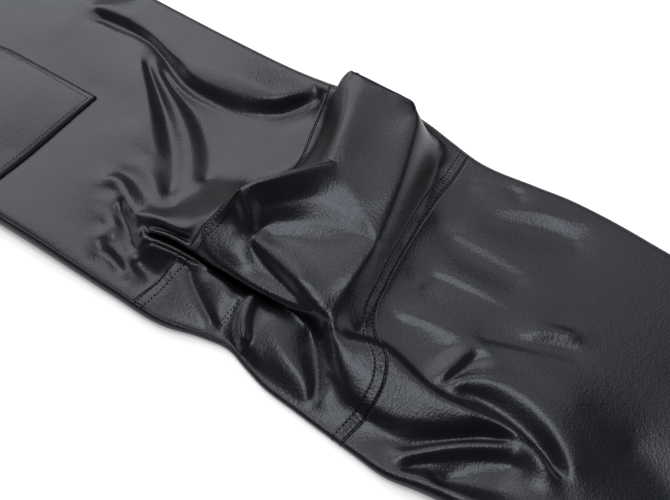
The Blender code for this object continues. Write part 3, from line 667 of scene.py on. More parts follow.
def front_place(half, s, w, wall):
    """Middle surface of the front. w runs from the outseam (0) to the inseam or centre (1)."""
    middle = np.clip((w - ROLL_SHARE) / (1 - 2 * ROLL_SHARE), 0, 1)
    b = FOLD_HALF_WIDTH * (2 * middle - 1)
    in_middle = (w >= ROLL_SHARE) & (w <= 1 - ROLL_SHARE)
    height = half.at(half.height, s, b)
    moved_s = s + np.where(in_middle, half.at(half.lean_s, s, b), 0.0)
    moved_b = np.where(in_middle, half.at(half.lean_b, s, b), 0.0)
    outer, inner, outer_radius, inner_radius = half.edges(moved_s)
    span = np.linalg.norm(inner - outer, axis=-1)
    across = (inner - outer) / span[..., None]
    gap_out = SEAM_GAP / 2 / outer_radius
    gap_in = SEAM_GAP / 2 / inner_radius
    outseam = np.radians(smooth_through(half.turns, s)[..., 0]) + gap_out
    inseam = math.radians(INSEAM_TURN) + gap_in
    roll_out = np.clip(w / ROLL_SHARE, 0, 1)
    roll_in = np.clip((1 - w) / ROLL_SHARE, 0, 1)
    out_in, out_up = rolled_edge(outseam + (math.pi - outseam) * roll_out, outer_radius, wall)
    in_in, in_up = rolled_edge(inseam + (math.pi - inseam) * roll_in, inner_radius, wall)
    full = ramp(s, 0.0, CROTCH_RAMP)
    in_in = full * in_in + (1 - full) * (EDGE_RADIUS * roll_in + SEAM_GAP / 2)
    in_up = full * in_up + (1 - full) * (FLAT_FRONT + (wall - WALL) / 2)
    flat = outer_radius + (span - outer_radius - inner_radius) * middle + moved_b
    distance = np.where(w < ROLL_SHARE, out_in, np.where(in_middle, flat, span - in_in))
    up = np.where(w < ROLL_SHARE, out_up, np.where(in_middle, height + (wall - WALL) / 2, in_up))
    return np.concatenate([outer + across * distance[..., None], up[..., None]], axis=-1)


def back_place(half, s, w, wall):
    """Middle surface of the back, which lies on the floor and rolls up at its edges."""
    outer, inner, outer_radius, inner_radius = half.edges(s)
    span = np.linalg.norm(inner - outer, axis=-1)
    across = (inner - outer) / span[..., None]
    outseam = np.radians(smooth_through(half.turns, s)[..., 0]) - SEAM_GAP / 2 / outer_radius
    inseam = math.radians(INSEAM_TURN) - SEAM_GAP / 2 / inner_radius
    share = BACK_ROLL_SHARE
    roll_out = np.clip(1 - w / share, 0, 1)
    roll_in = np.clip(1 - (1 - w) / share, 0, 1)
    middle = np.clip((w - share) / (1 - 2 * share), 0, 1)
    out_in, out_up = rolled_edge(outseam * roll_out, outer_radius, wall)
    in_in, in_up = rolled_edge(inseam * roll_in, inner_radius, wall)
    full = ramp(s, 0.0, CROTCH_RAMP)
    in_in = full * in_in + (1 - full) * (EDGE_RADIUS * (1 - roll_in) + SEAM_GAP / 2)
    in_up = full * in_up + (1 - full) * wall / 2
    flat = outer_radius + (span - outer_radius - inner_radius) * middle
    distance = np.where(w < share, out_in, np.where(w > 1 - share, span - in_in, flat))
    height = np.where(w < share, out_up, np.where(w > 1 - share, in_up, wall / 2))
    return np.concatenate([outer + across * distance[..., None], height[..., None]], axis=-1)


def surface_grid(place, half, s, w, wall):
    """Points of a panel on its grid and the upward direction at each."""
    s, w = np.broadcast_arrays(s, w)
    points = place(half, s, w, wall)
    along = place(half, s + NORMAL_STEP, w, wall) - place(half, s - NORMAL_STEP, w, wall)
    further = np.clip(w + NORMAL_STEP_ACROSS, 0, 1)
    nearer = np.clip(w - NORMAL_STEP_ACROSS, 0, 1)
    normal = np.cross(along, place(half, s, further, wall) - place(half, s, nearer, wall))
    normal /= np.maximum(np.linalg.norm(normal, axis=-1), 1e-9)[..., None]
    return points, normal


def across_values(share, roll_cells, cells):
    """A row of w: the rolled edges get their own cells and the middle the rest."""
    return np.concatenate([
        np.linspace(0, share, roll_cells + 1)[:-1],
        np.linspace(share, 1 - share, cells + 1),
        np.linspace(1 - share, 1, roll_cells + 1)[1:],
    ])[None, :]


def seam_line(line, w):
    """s of a cross seam at each w; a plain number is a straight one."""
    if not isinstance(line, tuple):
        return np.full(np.shape(w), float(line))
    b = FOLD_HALF_WIDTH * np.clip((2 * w - 1) / (1 - 2 * ROLL_SHARE), -1, 1)
    return smooth_through(line, b)[..., 0]


def shell_faces(rows, columns):
    """Faces of a closed wall whose upper points come first, then its lower ones, row by row."""
    upper = np.arange(rows * columns).reshape(rows, columns)
    lower = upper + rows * columns
    a, b, c, d = upper[:-1, :-1], upper[1:, :-1], upper[1:, 1:], upper[:-1, 1:]
    faces = [np.stack([a, b, c, d], -1).reshape(-1, 4)]
    count = rows * columns
    faces.append(np.stack([d, c, b, a], -1).reshape(-1, 4) + count)
    rim = np.concatenate([upper[:, 0], upper[-1, 1:], upper[-2::-1, -1], upper[0, -2:0:-1]])
    after = np.roll(rim, -1)
    faces.append(np.stack([after, rim, rim + count, after + count], -1))
    return np.concatenate(faces)


def in_scene(points, mirrored):
    """Points in millimetres from the crotch, as metres from the garment's middle."""
    points = np.array(points, float).reshape(-1, 3)
    points[:, 0] -= MIDDLE_X
    if mirrored:
        points[:, 1] *= -1
    return (points * MM).tolist()


def link_object(name, data):
    made = bpy.data.objects.new(name, data)
    bpy.context.scene.collection.objects.link(made)
    return made


def add_mesh(name, points, faces, surface, mirrored=False, maps=()):
    """A smooth mesh object at the origin, from points in millimetres. maps are (name, places)."""
    if mirrored:
        faces = [face[::-1] for face in faces]
    mesh = bpy.data.meshes.new(name)
    mesh.from_pydata(in_scene(points, mirrored), [], faces)
    corner = np.empty(len(mesh.loops), np.int32)
    mesh.loops.foreach_get("vertex_index", corner)
    for layer_name, places in maps:
        layer = mesh.uv_layers.new(name=layer_name)
        layer.data.foreach_set("uv", (places[corner] * MM).astype(np.float32).ravel())
    mesh.shade_smooth()
    mesh.materials.append(surface)
    return link_object(name, mesh)


def add_cloth(name, node, kind, half, s, w, grid, wall, seams=()):
    """A closed wall about a grid of points, on this half's side, in place of a node of the frame."""
    points, normals = grid
    upper = (points + normals * wall / 2).reshape(-1, 3)
    lower = (points - normals * wall / 2).reshape(-1, 3)
    cloth = on_cloth(s, w)
    maps = [("cloth", cloth)]
    if seams:
        maps.append(("seam", from_seams(cloth, seams)))
    maps = [(layer, np.concatenate([places.reshape(-1, 2)] * 2)) for layer, places in maps]
    faces = shell_faces(*points.shape[:2]).tolist()
    surface = SEAMED if seams else COATED
    made = add_mesh(f"cloth_{name}", np.concatenate([upper, lower]), faces, surface, half.left, maps)
    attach(made, "root")
    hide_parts(node)
    SHEETS.append((made, kind, half.side))


def on_cloth(s, w):
    """Places on the flat cloth for every corner of a grid, in millimetres."""
    return np.stack(np.broadcast_arrays(s, w * CLOTH_WIDTH), -1)


def seam_course(line, offset=0.0, first=0.0, last=1.0, spacing=1.0):
    """(s, w) along a cross seam, or along a line that keeps this far from it down the leg."""
    w = np.linspace(first, last, max(3, int((last - first) * CLOTH_WIDTH / spacing)))
    s = seam_line(line, w)
    along_s, along_w = np.gradient(s), np.gradient(w * CLOTH_WIDTH)
    length = np.hypot(along_s, along_w)
    return s + offset * along_w / length, w - offset * along_s / length / CLOTH_WIDTH


SEAM_REACH = 14.0        # of the relief beside a seam, up and down the leg
OFF_SEAMS = 500.0


def from_seams(cloth, seams):
    """How far each place is from the nearest seam, and how far along it.

    seams are (line, side, first, last).
    """
    flat = cloth.reshape(-1, 2)
    distance = np.full(len(flat), OFF_SEAMS)
    along = np.zeros(len(flat))
    for line, side, first, last in seams:
        course_s, course_w = seam_course(line, first=first, last=last)
        course = np.stack([course_s, course_w * CLOTH_WIDTH], -1)
        reach = (flat[:, 0] > course_s.min() - SEAM_REACH) & (flat[:, 0] < course_s.max() + SEAM_REACH)
        near = flat[reach]
        gaps = np.linalg.norm(near[:, None, :] - course[None, :, :], axis=-1)
        nearest = gaps.argmin(axis=1)
        gap = gaps[np.arange(len(near)), nearest]
        where = np.flatnonzero(reach)
        closer = gap < np.abs(distance[where])
        distance[where[closer]] = side * gap[closer]
        along[where[closer]] = nearest[closer]
    return np.stack([distance, along], -1).reshape(cloth.shape)


# ---------------------------------------------------------------- materials
class Shade:
    """A value in a material's nodes, with arithmetic."""

    def __init__(self, tree, value):
        self.tree = tree
        self.value = value

    def node(self, kind, *inputs, **settings):
        """A new node with these inputs in order; None leaves one as it is."""
        made = self.tree.nodes.new(kind)
        for key, value in settings.items():
            setattr(made, key, value)
        for socket, value in zip(made.inputs, inputs):
            if isinstance(value, Shade):
                self.tree.links.new(value.value, socket)
            elif value is not None:
                socket.default_value = value
        return made

    def maths(self, operation, *others):
        made = self.node("ShaderNodeMath", self, *others, operation=operation)
        return Shade(self.tree, made.outputs[0])

    def __add__(self, other):
        return self.maths("ADD", other)

    def __sub__(self, other):
        return self.maths("SUBTRACT", other)

    def __mul__(self, other):
        return self.maths("MULTIPLY", other)

    def step(self, start, end):
        """0 before start and 1 after end, with a soft turn."""
        kind = "ShaderNodeMapRange"
        made = self.node(kind, self, start, end, 0.0, 1.0, interpolation_type="SMOOTHSTEP")
        return Shade(self.tree, made.outputs[0])

    def bell(self, middle, half_width):
        """1 at middle, falling softly to 0 at half_width on either side."""
        return (self - middle).maths("ABSOLUTE").step(half_width, 0.0)

    def map(self, name):
        made = self.node("ShaderNodeUVMap", uv_map=name)
        return Shade(self.tree, made.outputs[0])

    def split(self):
        made = self.node("ShaderNodeSeparateXYZ", self)
        return Shade(self.tree, made.outputs[0]), Shade(self.tree, made.outputs[1])

    def noise(self, scale, detail=2.0, roughness=0.5):
        made = self.node("ShaderNodeTexNoise", self, None, scale, detail, roughness)
        return Shade(self.tree, made.outputs[0])

    def cells(self, scale):
        made = self.node("ShaderNodeTexVoronoi", self, None, scale, feature="SMOOTH_F1")
        made.inputs["Smoothness"].default_value = 0.6
        return Shade(self.tree, made.outputs[0])


def plain_material(name, colour, roughness, metallic=0.0):
    made = bpy.data.materials.new(name)
    made.use_nodes = True
    shader = made.node_tree.nodes["Principled BSDF"]
    shader.inputs["Base Color"].default_value = (*colour, 1.0)
    shader.inputs["Roughness"].default_value = roughness
    shader.inputs["Metallic"].default_value = metallic
    return made


STITCH_PITCH = 3.2
SEAM_GAUGE = 7.3         # between the two rows of a double seam
ROW_FROM_DITCH = 1.3
PUCKER_PITCH = 2.9
GRAIN_SIZE = 1.6
GRAIN_DEPTH = 0.12
CREASE_SIZE = 5.0        # fine uneven creasing of the coating
CREASE_DEPTH = 0.10
BAND_RISE = 0.25         # of the doubled cloth beside a seam
BAND_NEAR_EDGE = (0.2, 2.2)
BAND_FAR_EDGE = (SEAM_GAUGE + 3.0, SEAM_GAUGE + 1.4)
DITCH_DEPTH = 0.13
DITCH_HALF_WIDTH = 0.8
ROW_DEPTH = 0.28         # a row of stitches sinks into the cloth
ROW_HALF_WIDTH = 0.9
PUCKER_DEPTH = 0.22
PUCKER_REACH = SEAM_GAUGE + 1.5
PUCKER_DRIFT = 9.0       # how far noise shifts the puckers, as an angle of their wave
# of the noises on the cloth, per metre
DRIFT_SCALE = 160.0
PATCH_SCALE = 45.0       # puckers come and go in patches
PATCH_RANGE = (0.35, 0.75)
SHEEN_SCALE = 90.0
SHEEN_SPREAD = 0.10      # in roughness
COAT_COLOUR = (0.0052, 0.0053, 0.0062)
COAT_ROUGHNESS = 0.32
GLOSS_COLOUR = (0.84, 0.88, 1.0)


def scaled(millimetres):
    return [value * MM for value in millimetres]


def coated_material(name, with_seams):
    """Black coated cloth with a leather grain, and the relief of the seams where it has them."""
    made = plain_material(name, COAT_COLOUR, COAT_ROUGHNESS)
    tree = made.node_tree
    shader = tree.nodes["Principled BSDF"]
    shader.inputs["Specular Tint"].default_value = (*GLOSS_COLOUR, 1.0)
    start = Shade(tree, None)
    cloth = start.map("cloth")
    grain = cloth.cells(1 / (GRAIN_SIZE * MM)) * (GRAIN_DEPTH * MM)
    crease = cloth.noise(1 / (CREASE_SIZE * MM), 3.0, 0.55) * (CREASE_DEPTH * MM)
    height = grain + crease
    if with_seams:
        across, along = start.map("seam").split()
        band = across.step(*scaled(BAND_NEAR_EDGE)) * across.step(*scaled(BAND_FAR_EDGE))
        ditch = across.bell(0.0, DITCH_HALF_WIDTH * MM)
        drift = cloth.noise(DRIFT_SCALE) * PUCKER_DRIFT
        wave = (along * (2 * math.pi / (PUCKER_PITCH * MM)) + drift).maths("SINE")
        uneven = cloth.noise(PATCH_SCALE).step(*PATCH_RANGE)
        pull = across.bell((ROW_FROM_DITCH + SEAM_GAUGE / 2) * MM, PUCKER_REACH * MM)
        near_row = across.bell(ROW_FROM_DITCH * MM, ROW_HALF_WIDTH * MM)
        far_row = across.bell((ROW_FROM_DITCH + SEAM_GAUGE) * MM, ROW_HALF_WIDTH * MM)
        rows = (near_row + far_row) * (ROW_DEPTH * MM)
        height = height + band * (BAND_RISE * MM) - ditch * (DITCH_DEPTH * MM) - rows
        height = height + wave * uneven * pull * (PUCKER_DEPTH * MM)
    bump = start.node("ShaderNodeBump")
    bump.inputs["Distance"].default_value = 1.0
    tree.links.new(height.value, bump.inputs["Height"])
    tree.links.new(bump.outputs["Normal"], shader.inputs["Normal"])
    sheen = cloth.noise(SHEEN_SCALE, 3.0) * SHEEN_SPREAD + (COAT_ROUGHNESS - SHEEN_SPREAD / 2)
    tree.links.new(sheen.value, shader.inputs["Roughness"])
    return made


SEAMED = coated_material("coated_cloth_seamed", True)
COATED = coated_material("coated_cloth_plain", False)
THREAD = plain_material("thread", (0.003, 0.003, 0.0035), 0.8)
THREAD.node_tree.nodes["Principled BSDF"].inputs["Specular IOR Level"].default_value = 0.1
BUTTON_METAL = plain_material("button_metal", (0.09, 0.09, 0.095), 0.3, 1.0)
FLOOR = plain_material("pale_floor", (0.88, 0.875, 0.885), 0.6)
GLOW = FLOOR.node_tree.nodes["Principled BSDF"].inputs
GLOW["Emission Color"].default_value = (1.0, 0.99, 1.0, 1.0)
GLOW["Emission Strength"].default_value = 0.35


# ---------------------------------------------------------------- stitches
STITCH_SIDES = 6
STITCH_RINGS = 4
STITCH_LENGTH = 2.3
STITCH_THICKNESS = 0.85
THREAD_PROUD = 0.1       # share of its thickness that the thread's middle stands off the cloth


def stitch_tree():
    """Geometry nodes that lay one stitch at every pitch along a line."""
    tree = bpy.data.node_groups.new("stitches", "GeometryNodeTree")
    tree.interface.new_socket("Lines", in_out="INPUT", socket_type="NodeSocketGeometry")
    for name in ("Pitch", "Length", "Thickness"):
        tree.interface.new_socket(name, in_out="INPUT", socket_type="NodeSocketFloat")
    tree.interface.new_socket("Thread", in_out="INPUT", socket_type="NodeSocketMaterial")
    tree.interface.new_socket("Stitches", in_out="OUTPUT", socket_type="NodeSocketGeometry")
    link = tree.links.new
    given = tree.nodes.new("NodeGroupInput")
    curve = tree.nodes.new("GeometryNodeMeshToCurve")
    spaced = tree.nodes.new("GeometryNodeResampleCurve")
    spaced.mode = "LENGTH"
    tangent = tree.nodes.new("GeometryNodeInputTangent")
    turn = tree.nodes.new("FunctionNodeAlignRotationToVector")
    turn.axis = "X"
    ball = tree.nodes.new("GeometryNodeMeshUVSphere")
    ball.inputs["Segments"].default_value = STITCH_SIDES
    ball.inputs["Rings"].default_value = STITCH_RINGS
    ball.inputs["Radius"].default_value = 0.5
    size = tree.nodes.new("ShaderNodeCombineXYZ")
    shaped = tree.nodes.new("GeometryNodeTransform")
    placed = tree.nodes.new("GeometryNodeInstanceOnPoints")
    real = tree.nodes.new("GeometryNodeRealizeInstances")
    painted = tree.nodes.new("GeometryNodeSetMaterial")
    result = tree.nodes.new("NodeGroupOutput")
    link(given.outputs["Lines"], curve.inputs["Mesh"])
    link(curve.outputs["Curve"], spaced.inputs["Curve"])
    link(given.outputs["Pitch"], spaced.inputs["Length"])
    link(spaced.outputs["Curve"], placed.inputs["Points"])
    link(tangent.outputs["Tangent"], turn.inputs["Vector"])
    link(turn.outputs["Rotation"], placed.inputs["Rotation"])
    link(given.outputs["Length"], size.inputs["X"])
    link(given.outputs["Thickness"], size.inputs["Y"])
    link(given.outputs["Thickness"], size.inputs["Z"])
    link(ball.outputs["Mesh"], shaped.inputs["Geometry"])
    link(size.outputs["Vector"], shaped.inputs["Scale"])
    link(shaped.outputs["Geometry"], placed.inputs["Instance"])
    link(placed.outputs["Instances"], real.inputs["Geometry"])
    link(real.outputs["Geometry"], painted.inputs["Geometry"])
    link(given.outputs["Thread"], painted.inputs["Material"])
    link(painted.outputs["Geometry"], result.inputs["Stitches"])
    return tree


STITCH_TREE = stitch_tree()


def add_stitches(name, half, rows):
    """All the stitches of one half as one mesh. rows are lines of points on the cloth."""
    edges = []
    start = 0
    for row in rows:
        edges += [(start + k, start + k + 1) for k in range(len(row) - 1)]
        start += len(row)
    lines = bpy.data.meshes.new(name)
    lines.from_pydata(in_scene(np.concatenate(rows), half.left), edges, [])
    made = link_object(name, lines)
    modifier = made.modifiers.new("stitches", "NODES")
    modifier.node_group = STITCH_TREE
    values = {
        "Pitch": STITCH_PITCH * MM,
        "Length": STITCH_LENGTH * MM,
        "Thickness": STITCH_THICKNESS * MM,
        "Thread": THREAD,
    }
    for item in STITCH_TREE.interface.items_tree:
        if item.name in values:
            modifier[item.identifier] = values[item.name]
    ready = made.evaluated_get(bpy.context.evaluated_depsgraph_get())
    mesh = bpy.data.meshes.new_from_object(ready)
    made.modifiers.clear()
    made.data = mesh
    mesh.shade_smooth()
    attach(made, "root")


def row_on(half, s, w, wall=WALL):
    """A line of points on the outer side of the front."""
    points, normals = surface_grid(front_place, half, s, w, wall)
    return points + normals * (wall / 2 + STITCH_THICKNESS * THREAD_PROUD)


# ---------------------------------------------------------------- pieces
POCKET_STATIONS = (-100.0, 84.0)
POCKET_SPAN = (0.1, 0.53)
POCKET_WALL = 1.6
POCKET_FULLNESS = 9.0
POCKET_ROUNDNESS = 0.6   # 1 swells to a point, less keeps it flatter in the middle
FLAP_STATIONS = (-116.0, -48.0)
FLAP_WALL = 2.2
LOOP_PLACES = (0.36, 0.74)
LOOP_WALL = 2.0
LOOP_SPAN = 0.05
LOOP_ARCH = 0.7
LOOP_ROWS = 24
LOOP_INSET = 1.0         # from the band's edges
POCKET_CELLS = 60
POCKET_ROW_INSET = 5.0
FLAP_LIFT = 0.6
BAND_STATIONS = (-RISE - BAND_WIDTH, -RISE)
BAND_ROW_INSET = 3.0
HEM_ROW_INSET = 20.0
ROW_POINTS = 160         # along a row of stitches from side to side
POCKET_ROW_POINTS = 80
FLY_ROW_POINTS = 120
LEG_ROW_SPAN = (0.01, 0.99)
BAND_ROW_SPAN = (0.02, 0.99)
BUTTON_FROM_EDGE = 16.0
BUTTON_SIDES = 64
# radius and height of the button's outline, from its foot to the dip on its top
BUTTON_PROFILE = (
    (7.6, 0.0), (8.3, 0.3), (8.5, 0.9), (8.5, 2.0), (8.2, 2.7), (7.5, 3.0), (6.8, 2.8), (6.3, 2.3),
    (2.0, 2.1),
)
# cells of each rolled edge and between them
BAND_FRONT_CELLS = (6, 60)
BAND_BACK_CELLS = (10, 24)
BACK_CELLS = (14, 30)
FRONT_ROLL_CELLS = 8
BAND_FRONT_ROWS = 14
BAND_BACK_ROWS = 10
LOOP_COLUMNS = 9
KNEE_FINER = 0.8         # spacing of the knee's mesh against the rest
SEAT_COARSER = 3         # and of the seat's
FLY_WIDTH = 38.0
FLY_END = -96.0
FLY_STRAIGHT = 0.6       # share of the fly's row that runs straight before its bend
FLY_FOOT = 1.0           # from the centre where the row ends


def pocket_fullness(s, w):
    """How far the pocket stands off the leg."""
    i = np.clip((s - POCKET_STATIONS[0]) / (POCKET_STATIONS[1] - POCKET_STATIONS[0]), 0, 1)
    j = np.clip((w - POCKET_SPAN[0]) / (POCKET_SPAN[1] - POCKET_SPAN[0]), 0, 1)
    return POCKET_FULLNESS * (np.sin(math.pi * i) * np.sin(math.pi * j)) ** POCKET_ROUNDNESS


def pocket_layer(half, s, w, lift):
    """Points on a layer of the pocket, lifted off the leg, and the direction outwards."""
    s, w = np.broadcast_arrays(s, w)
    points, normals = surface_grid(front_place, half, s, w, WALL)
    return points + normals * (WALL / 2 + SEAM_GAP + lift + pocket_fullness(s, w))[..., None], normals


def add_pocket(half, rows):
    """Pocket, flap and the rows of stitches round them."""
    for kind, ends, wall, lift in (
        ("pocket", POCKET_STATIONS, POCKET_WALL, POCKET_WALL / 2),
        ("flap", FLAP_STATIONS, FLAP_WALL, POCKET_WALL + SEAM_GAP + FLAP_WALL / 2 + FLAP_LIFT),
    ):
        s = np.linspace(*ends, POCKET_CELLS)[:, None]
        w = np.linspace(*POCKET_SPAN, POCKET_CELLS)[None, :]
        name = f"{kind}_{half.side}"
        add_cloth(name, f"cargo_{name}", kind, half, s, w, pocket_layer(half, s, w, lift), wall)
        first, last = ends[0] + POCKET_ROW_INSET, ends[1] - POCKET_ROW_INSET
        near = POCKET_SPAN[0] + POCKET_ROW_INSET / CLOTH_WIDTH
        far = POCKET_SPAN[1] - POCKET_ROW_INSET / CLOTH_WIDTH
        corners = ((first, near), (last, near), (last, far), (first, far), (first, near))
        for (s_a, w_a), (s_b, w_b) in zip(corners[:-1], corners[1:]):
            part = np.linspace(0, 1, POCKET_ROW_POINTS)
            row, out = pocket_layer(half, s_a + (s_b - s_a) * part, w_a + (w_b - w_a) * part, lift)
            rows.append(row + out * (wall / 2))


def stations(start, end, count, w):
    """Rows of corners at even stations, one for each w."""
    return np.linspace(start, end, count)[:, None] + 0 * w


def add_band_part(half, which, place, count, w):
    """The front or the back of the waistband."""
    name = f"band_{which}_{half.side}"
    s = stations(BAND_STATIONS[0] + SEAM_GAP / 2, BAND_STATIONS[1] - SEAM_GAP / 2, count, w)
    add_cloth(name, f"waist{name}", "band", half, s, w, surface_grid(place, half, s, w, BAND_WALL), BAND_WALL)


def add_band(half, rows, first_loop):
    """The waistband's front and back and the two belt loops on its front."""
    top, seam = BAND_STATIONS
    w = across_values(ROLL_SHARE, *BAND_FRONT_CELLS)
    add_band_part(half, "front", front_place, BAND_FRONT_ROWS, w)
    line = np.linspace(*BAND_ROW_SPAN, ROW_POINTS)
    for station in (top + BAND_ROW_INSET, seam - BAND_ROW_INSET):
        rows.append(row_on(half, np.full(line.shape, station), line, BAND_WALL))
    arch = LOOP_ARCH * np.sin(math.pi * np.linspace(0, 1, LOOP_ROWS))[:, None, None]
    lift = BAND_WALL / 2 + SEAM_GAP + LOOP_WALL / 2 + arch
    for number, place in enumerate(LOOP_PLACES, first_loop):
        w = np.linspace(place, place + LOOP_SPAN, LOOP_COLUMNS)[None, :]
        s = stations(top + LOOP_INSET, seam - LOOP_INSET, LOOP_ROWS, w)
        points, normals = surface_grid(front_place, half, s, w, BAND_WALL)
        grid = (points + normals * lift, normals)
        add_cloth(f"loop_{number}", f"belt_loop_{number}", "loop", half, s, w, grid, LOOP_WALL)
    w = across_values(BACK_ROLL_SHARE, *BAND_BACK_CELLS)
    add_band_part(half, "back", back_place, BAND_BACK_ROWS, w)


def knee_seams(half):
    seams = [(UPPER_KNEE_SEAM, 1, 0.0, 1.0), (LOWER_KNEE_SEAM, 1, 0.0, 1.0)]
    if not half.left:
        seams.append((KNEE_DART, -1, *DART_SPAN))
    return seams


def add_front(half, spacing, rows):
    """Thigh, knee and shin of the front. spacing is of the mesh on the knee and beyond it."""
    for part, first, last in (
        ("thigh", -RISE, UPPER_KNEE_SEAM),
        ("knee", UPPER_KNEE_SEAM, LOWER_KNEE_SEAM),
        ("shin", LOWER_KNEE_SEAM, LEG_LENGTH),
    ):
        step = spacing * (KNEE_FINER if part == "knee" else 1.0)
        w = across_values(ROLL_SHARE, FRONT_ROLL_CELLS, int(2 * FOLD_HALF_WIDTH / step))
        s = panel_stations(first, last, w, step)
        side = 1 if part == "knee" else -1
        seams = [(line, side * way, start, end) for line, way, start, end in knee_seams(half)]
        name = f"front_{part}_{half.side}"
        add_cloth(name, name, part, half, s, w, surface_grid(front_place, half, s, w, WALL), WALL, seams)
    for line, side in ((UPPER_KNEE_SEAM, 1), (LOWER_KNEE_SEAM, -1)):
        for gauge in (ROW_FROM_DITCH, ROW_FROM_DITCH + SEAM_GAUGE):
            rows.append(row_on(half, *seam_course(line, side * gauge, *LEG_ROW_SPAN)))
    w = np.linspace(*LEG_ROW_SPAN, ROW_POINTS)
    rows.append(row_on(half, np.full(w.shape, LEG_LENGTH - HEM_ROW_INSET), w))


def panel_stations(first, last, w, step):
    """Rows of corners between two cross seams, wider apart on the seat, where nothing is folded."""
    start = seam_line(first, w) + SEAM_GAP / 2
    end = seam_line(last, w) - SEAM_GAP / 2
    if isinstance(first, tuple):
        count = max(2, int(round(np.mean(end - start) / step)))
        return start + (end - start) * np.linspace(0, 1, count + 1)[:, None]
    seat_count = int((SEAT_END - first) / (SEAT_COARSER * step))
    seat = stations(first + SEAM_GAP / 2, SEAT_END, seat_count, w)
    count = int(round(np.mean(end - SEAT_END) / step))
    return np.concatenate([seat[:-1], SEAT_END + (end - SEAT_END) * np.linspace(0, 1, count + 1)[:, None]])


def add_back(half, spacing):
    w = across_values(BACK_ROLL_SHARE, *BACK_CELLS)
    s = np.arange(-RISE + SEAM_GAP / 2, LEG_LENGTH, spacing)[:, None] + 0 * w
    s[-1] = LEG_LENGTH - SEAM_GAP / 2
    name = f"back_{half.side}"
    add_cloth(name, name, "back", half, s, w, surface_grid(back_place, half, s, w, WALL), WALL)


def add_half(side, outline, turns, folds, spacings, first_loop):
    """All the pieces of one half. spacings are of its fold grid, its front's mesh and its back's."""
    solved_at, front_spacing, back_spacing = spacings
    half = Half(side, outline, turns, folds, solved_at)
    rows = []
    add_front(half, front_spacing, rows)
    add_back(half, back_spacing)
    add_band(half, rows, first_loop)
    add_pocket(half, rows)
    if half.left:
        rows.append(fly_row(half))
    else:
        for gauge in (-DART_ROW, DART_ROW):
            rows.append(row_on(half, *seam_course(KNEE_DART, gauge, *DART_SPAN)))
    add_stitches(f"stitches_{side}", half, rows)


def fly_row(half):
    """The curved row of stitches that holds the fly, on the left front."""
    part = np.linspace(0, 1, FLY_ROW_POINTS)
    s = -RISE + (FLY_END + RISE) * part
    bend = np.clip((part - FLY_STRAIGHT) / (1 - FLY_STRAIGHT), 0, 1)
    from_centre = FLY_WIDTH * np.sqrt(np.clip(1 - bend**2, 0, 1)) + FLY_FOOT
    outer, inner, _, _ = half.edges(s)
    span = np.linalg.norm(inner - outer, axis=-1)
    flat = 1 - from_centre / span
    return row_on(half, s, ROLL_SHARE + (1 - 2 * ROLL_SHARE) * flat)


def add_button():
    """A round metal button on the left end of the waistband."""
    centre_x = (PELVIS_SECTIONS[0][3] + PELVIS_SECTIONS[1][3]) / 2
    floor = FLAT_FRONT + BAND_WALL - WALL / 2 + SEAM_GAP
    sides = BUTTON_SIDES
    turns = np.linspace(0, 2 * math.pi, sides, endpoint=False)
    rings = [
        np.stack([radius * np.cos(turns), radius * np.sin(turns), np.full(sides, height)], -1)
        for radius, height in BUTTON_PROFILE
    ]
    top = BUTTON_PROFILE[-1][1]
    points = np.concatenate([[(0.0, 0.0, 0.0)], *rings, [(0.0, 0.0, top)]])
    faces = []
    last = 1 + (len(rings) - 1) * sides
    for k in range(sides):
        n = (k + 1) % sides
        faces.append((0, 1 + n, 1 + k))
        for a in range(1, last, sides):
            faces.append((a + k, a + n, a + sides + n, a + sides + k))
        faces.append((last + k, last + n, len(points) - 1))
    made = add_mesh("button", points + (centre_x, BUTTON_FROM_EDGE, floor), faces, BUTTON_METAL)
    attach(made, "root")
    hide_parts("waist_button")


# each sheet's cut: greatest width and length, and the area of its shape, in metres
CUTS = {
    ("thigh", "right"): (0.30, 0.56, 0.145),
    ("thigh", "left"): (0.30, 0.56, 0.140),
    ("knee", "right"): (0.32, 0.21, 0.057),
    ("knee", "left"): (0.29, 0.17, 0.043),
    ("shin", "right"): (0.31, 0.32, 0.084),
    ("shin", "left"): (0.31, 0.31, 0.078),
}
# and of the pieces that are alike on both sides; None is width by length
PAIRED_CUTS = {
    "back": (0.31, 0.97, 0.270),
    "band": (0.04, 0.20, None),
    "loop": (0.012, 0.038, None),
    "pocket": (0.12, 0.19, None),
    "flap": (0.12, 0.07, None),
}
RESTS_ON = {"pocket": "cloth_front_thigh_", "flap": "cloth_pocket_", "loop": "cloth_band_front_"}
SHEETS = []
# spacing of the fold grid, of the front's mesh and of the back's
RIGHT_SPACINGS = (1.0, 1.6, 3.0)
LEFT_SPACINGS = (2.0, 3.2, 6.0)

shown = tuple((*row[:4], tuple(seen_place(*place) for place in row[4])) for row in SHOWN_FOLDS)
add_half("right", RIGHT_OUTLINE, RIGHT_TURNS, shown + RIGHT_FOLDS, RIGHT_SPACINGS, 1)
add_half("left", LEFT_OUTLINE, LEFT_TURNS, LEFT_FOLDS, LEFT_SPACINGS, 3)
add_button()

for piece, kind, side in SHEETS:
    width, length, area = PAIRED_CUTS[kind] if kind in PAIRED_CUTS else CUTS[kind, side]
    under = RESTS_ON[kind] + side if kind in RESTS_ON else "floor"

# ---------------------------------------------------------------- floor, light and camera
FLOOR_HALF = 6.0         # metres
FLOOR_BELOW = 0.0002     # the floor lies just under the cloth, so that their faces don't mix
LIGHT_DISTANCE = 2.4
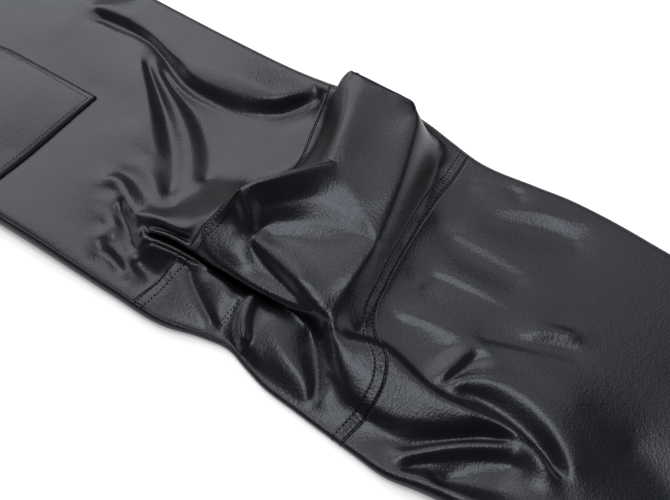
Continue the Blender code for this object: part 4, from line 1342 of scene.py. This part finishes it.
# name, azimuth, elevation, width, height, radiance
LIGHTS = (
    ("left_softbox", 30.0, 37.0, 2.1, 1.8, 2.55),
    ("far_softbox", -20.0, 52.0, 1.6, 1.3, 1.2),
    ("overhead_softbox", 70.0, 86.0, 1.2, 1.2, 5.4),
    ("left_low_fill", 62.0, 8.0, 2.0, 0.7, 1.5),
    ("right_fill", -80.0, 8.0, 2.0, 1.6, 1.0),
)
WORLD_COLOUR = (0.92, 0.95, 1.0)
WORLD_STRENGTH = 0.11


def add_camera():
    data = bpy.data.cameras.new("camera")
    data.lens = CAMERA_LENS
    data.sensor_width = SENSOR
    camera = link_object("camera", data)
    distance = CAMERA_LENS / SENSOR * IMAGE_WIDTH / PIXELS_PER_MM
    turn = CAMERA_SWING - LEG_ANGLE
    back = Vector((
        math.sin(turn) * math.cos(CAMERA_ELEVATION),
        -math.cos(turn) * math.cos(CAMERA_ELEVATION),
        math.sin(CAMERA_ELEVATION),
    ))
    x, y = leg_place(CAMERA_STATION, CAMERA_ACROSS)
    aim = Vector((x - MIDDLE_X, y, CAMERA_AIM_HEIGHT))
    camera.location = (aim + back * distance) * MM
    camera.rotation_mode = "QUATERNION"
    camera.rotation_quaternion = (-back).to_track_quat("-Z", "Y")
    data.clip_start, data.clip_end = CAMERA_CLIP
    bpy.context.scene.camera = camera


def add_floor():
    mesh = bpy.data.meshes.new("floor")
    corners = [(x * FLOOR_HALF, y * FLOOR_HALF, 0) for x, y in ((-1, -1), (1, -1), (1, 1), (-1, 1))]
    mesh.from_pydata(corners, [], [(0, 1, 2, 3)])
    mesh.materials.append(FLOOR)
    floor = link_object("floor", mesh)
    floor.location.z = -FLOOR_BELOW


def add_area_light(name, azimuth, elevation, width, height, radiance):
    """A soft box aimed at the knee. Azimuth 0 is on the far side of the leg as the camera sees it."""
    data = bpy.data.lights.new(name, "AREA")
    data.shape = "RECTANGLE"
    data.size = width
    data.size_y = height
    data.energy = radiance * math.pi * width * height
    lamp = link_object(name, data)
    turn = math.radians(azimuth) + CAMERA_SWING - LEG_ANGLE
    e = math.radians(elevation)
    out = Vector((-math.sin(turn) * math.cos(e), math.cos(turn) * math.cos(e), math.sin(e)))
    x, y = leg_place(CAMERA_STATION, CAMERA_ACROSS)
    lamp.location = Vector(((x - MIDDLE_X) * MM, y * MM, 0.0)) + out * LIGHT_DISTANCE
    lamp.rotation_mode = "QUATERNION"
    lamp.rotation_quaternion = out.to_track_quat("Z", "Y")


def set_world():
    world = bpy.data.worlds.new("studio")
    world.use_nodes = True
    background = world.node_tree.nodes["Background"].inputs
    background["Color"].default_value = (*WORLD_COLOUR, 1.0)
    background["Strength"].default_value = WORLD_STRENGTH
    bpy.context.scene.world = world


add_floor()
add_camera()
for light in LIGHTS:
    add_area_light(*light)
set_world()
bpy.context.scene.view_settings.view_transform = "Standard"
